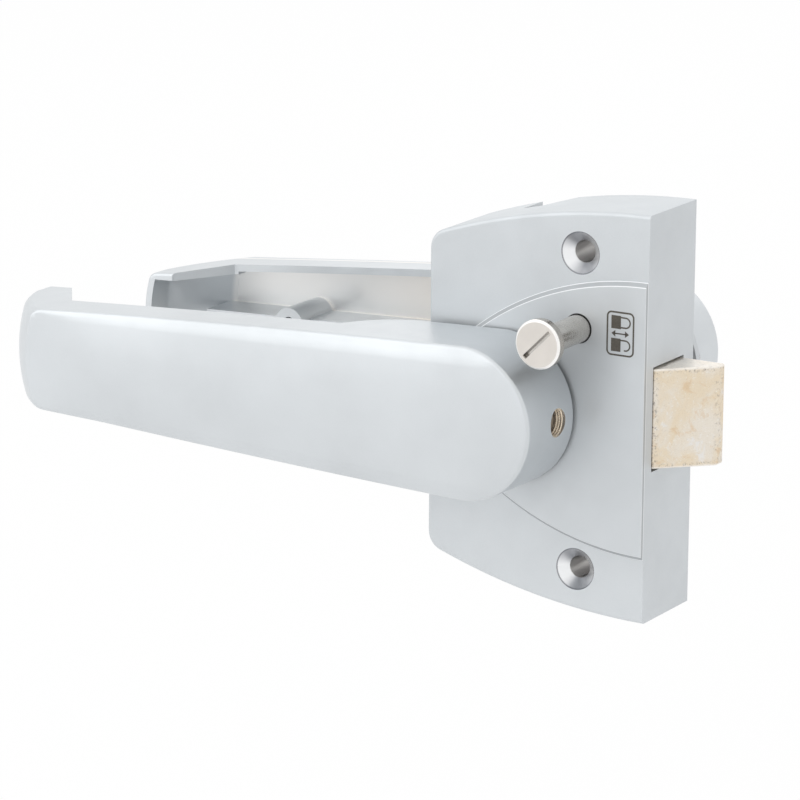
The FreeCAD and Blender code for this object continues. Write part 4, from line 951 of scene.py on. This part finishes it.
class LOCK_OT_stage(bpy.types.Operator):
    """Set up the camera, the soft light and the white floor"""

    bl_idname = "door_lock.stage"
    bl_label = "Stage"

    def execute(self, context):
        scene = context.scene
        settings = scene.lock_stage
        place = Vector((484.6, -912.3, 259.7)) * MM
        look = Vector((-0.4993, 0.8307, -0.2462)).normalized()
        right = look.cross(Vector((0, 0, 1))).normalized()
        up = right.cross(look)
        roll = math.radians(0.39)
        right, up = (right * math.cos(roll) + up * math.sin(roll),
                     up * math.cos(roll) - right * math.sin(roll))
        camera_data = bpy.data.cameras.new("photo_camera")
        camera_data.lens = settings.lens
        camera_data.sensor_width = 36
        camera_data.clip_end = 20
        camera = bpy.data.objects.new("photo_camera", camera_data)
        turn = Matrix((right, up, -look)).transposed().to_4x4()
        camera.matrix_world = Matrix.Translation(place) @ turn
        scene.collection.objects.link(camera)
        scene.camera = camera

        floor_mesh = bpy.data.meshes.new("floor")
        bm = bmesh.new()
        bmesh.ops.create_grid(bm, x_segments=8, y_segments=8, size=3.0)
        bm.to_mesh(floor_mesh)
        bm.free()
        floor_mesh.transform(Matrix.Translation((0, 0, CAD_BOX[0][2] - settings.floor_drop)))
        floor = new_object("floor", floor_mesh, white_stage("white_floor"))

        world = bpy.data.worlds.new("soft_surround")
        scene.world = world
        world.use_nodes = True
        nodes, links = world.node_tree.nodes, world.node_tree.links
        nodes.clear()
        output = nodes.new("ShaderNodeOutputWorld")
        coordinates = nodes.new("ShaderNodeTexCoord")
        parts = nodes.new("ShaderNodeSeparateXYZ")
        links.new(coordinates.outputs["Generated"], parts.inputs[0])
        ramp = nodes.new("ShaderNodeValToRGB")
        ramp.color_ramp.elements[0].position = 0.30
        ramp.color_ramp.elements[0].color = (0.62, 0.64, 0.66, 1)
        ramp.color_ramp.elements[1].position = 0.80
        ramp.color_ramp.elements[1].color = (1.0, 1.0, 1.0, 1)
        height = nodes.new("ShaderNodeMapRange")
        height.inputs["From Min"].default_value = -1
        links.new(parts.outputs["Z"], height.inputs["Value"])
        links.new(height.outputs["Result"], ramp.inputs["Fac"])
        soft = nodes.new("ShaderNodeBackground")
        links.new(ramp.outputs["Color"], soft.inputs["Color"])
        soft.inputs["Strength"].default_value = settings.sky
        white = nodes.new("ShaderNodeBackground")
        white.inputs["Strength"].default_value = 1.0
        white.inputs["Color"].default_value = (1, 1, 1, 1)
        path = nodes.new("ShaderNodeLightPath")
        mix = nodes.new("ShaderNodeMixShader")
        seen = nodes.new("ShaderNodeValue").outputs[0]
        seen.default_value = WHITE_SHARE
        for ray in ("Is Camera Ray", "Is Glossy Ray", "Is Transmission Ray"):
            both = nodes.new("ShaderNodeMath")
            both.operation = "MAXIMUM"
            links.new(path.outputs[ray], both.inputs[0])
            links.new(seen, both.inputs[1])
            seen = both.outputs[0]
        links.new(seen, mix.inputs["Fac"])
        links.new(soft.outputs[0], mix.inputs[1])
        links.new(white.outputs[0], mix.inputs[2])
        links.new(mix.outputs[0], output.inputs["Surface"])

        aim = Vector((-0.06, -0.01, 0.0))
        lamps = [
            ("key_light", Vector((-0.95, -1.10, 0.75)), 2.1, settings.key * 1.75),
            ("rear_light", Vector((-0.30, 1.20, 0.60)), 1.2, settings.key * 0.15),
            ("top_light", Vector((-0.10, 0.30, 1.20)), 2.4, settings.key * 0.5),
        ]
        for name, place, size, power in lamps:
            data = bpy.data.lights.new(name, "AREA")
            data.size = size
            data.energy = power
            lamp = bpy.data.objects.new(name, data)
            away = (place - aim).normalized()
            lamp.matrix_world = Matrix.Translation(place) @ away.to_track_quat("Z", "Y").to_matrix().to_4x4()
            scene.collection.objects.link(lamp)
        scene.view_settings.view_transform = "Standard"
        return {"FINISHED"}


class LOCK_PT_panel(bpy.types.Panel):
    """Builds the door lock's pieces one by one"""

    bl_idname = "LOCK_PT_panel"
    bl_label = "Door lock"
    bl_space_type = "VIEW_3D"
    bl_region_type = "UI"
    bl_category = "Door lock"

    def draw(self, context):
        for group in GROUPS:
            box = self.layout.box()
            settings = getattr(context.scene, group)
            for key in settings.__annotations__:
                box.prop(settings, key)
        for step in OPERATORS:
            self.layout.operator(step.bl_idname)


GROUPS = {
    "lock_finish": LockFinish, "lock_lever": LockLever, "lock_sign": LockSign, "lock_stage": LockStage,
}
OPERATORS = [
    LOCK_OT_castings, LOCK_OT_bolt, LOCK_OT_pin, LOCK_OT_works, LOCK_OT_grub_screws, LOCK_OT_sign,
    LOCK_OT_threads, LOCK_OT_stage,
]


def register():
    for group in (*GROUPS.values(), *OPERATORS, LOCK_PT_panel):
        bpy.utils.register_class(group)
    for key, group in GROUPS.items():
        setattr(bpy.types.Scene, key, bpy.props.PointerProperty(type=group))


def unregister():
    for key in GROUPS:
        delattr(bpy.types.Scene, key)
    for group in reversed((*GROUPS.values(), *OPERATORS, LOCK_PT_panel)):
        bpy.utils.unregister_class(group)


def main():
    register()
    for step in OPERATORS:
        family, name = step.bl_idname.split(".")
        getattr(getattr(bpy.ops, family), name)()


if __name__ == "__main__":
    main()
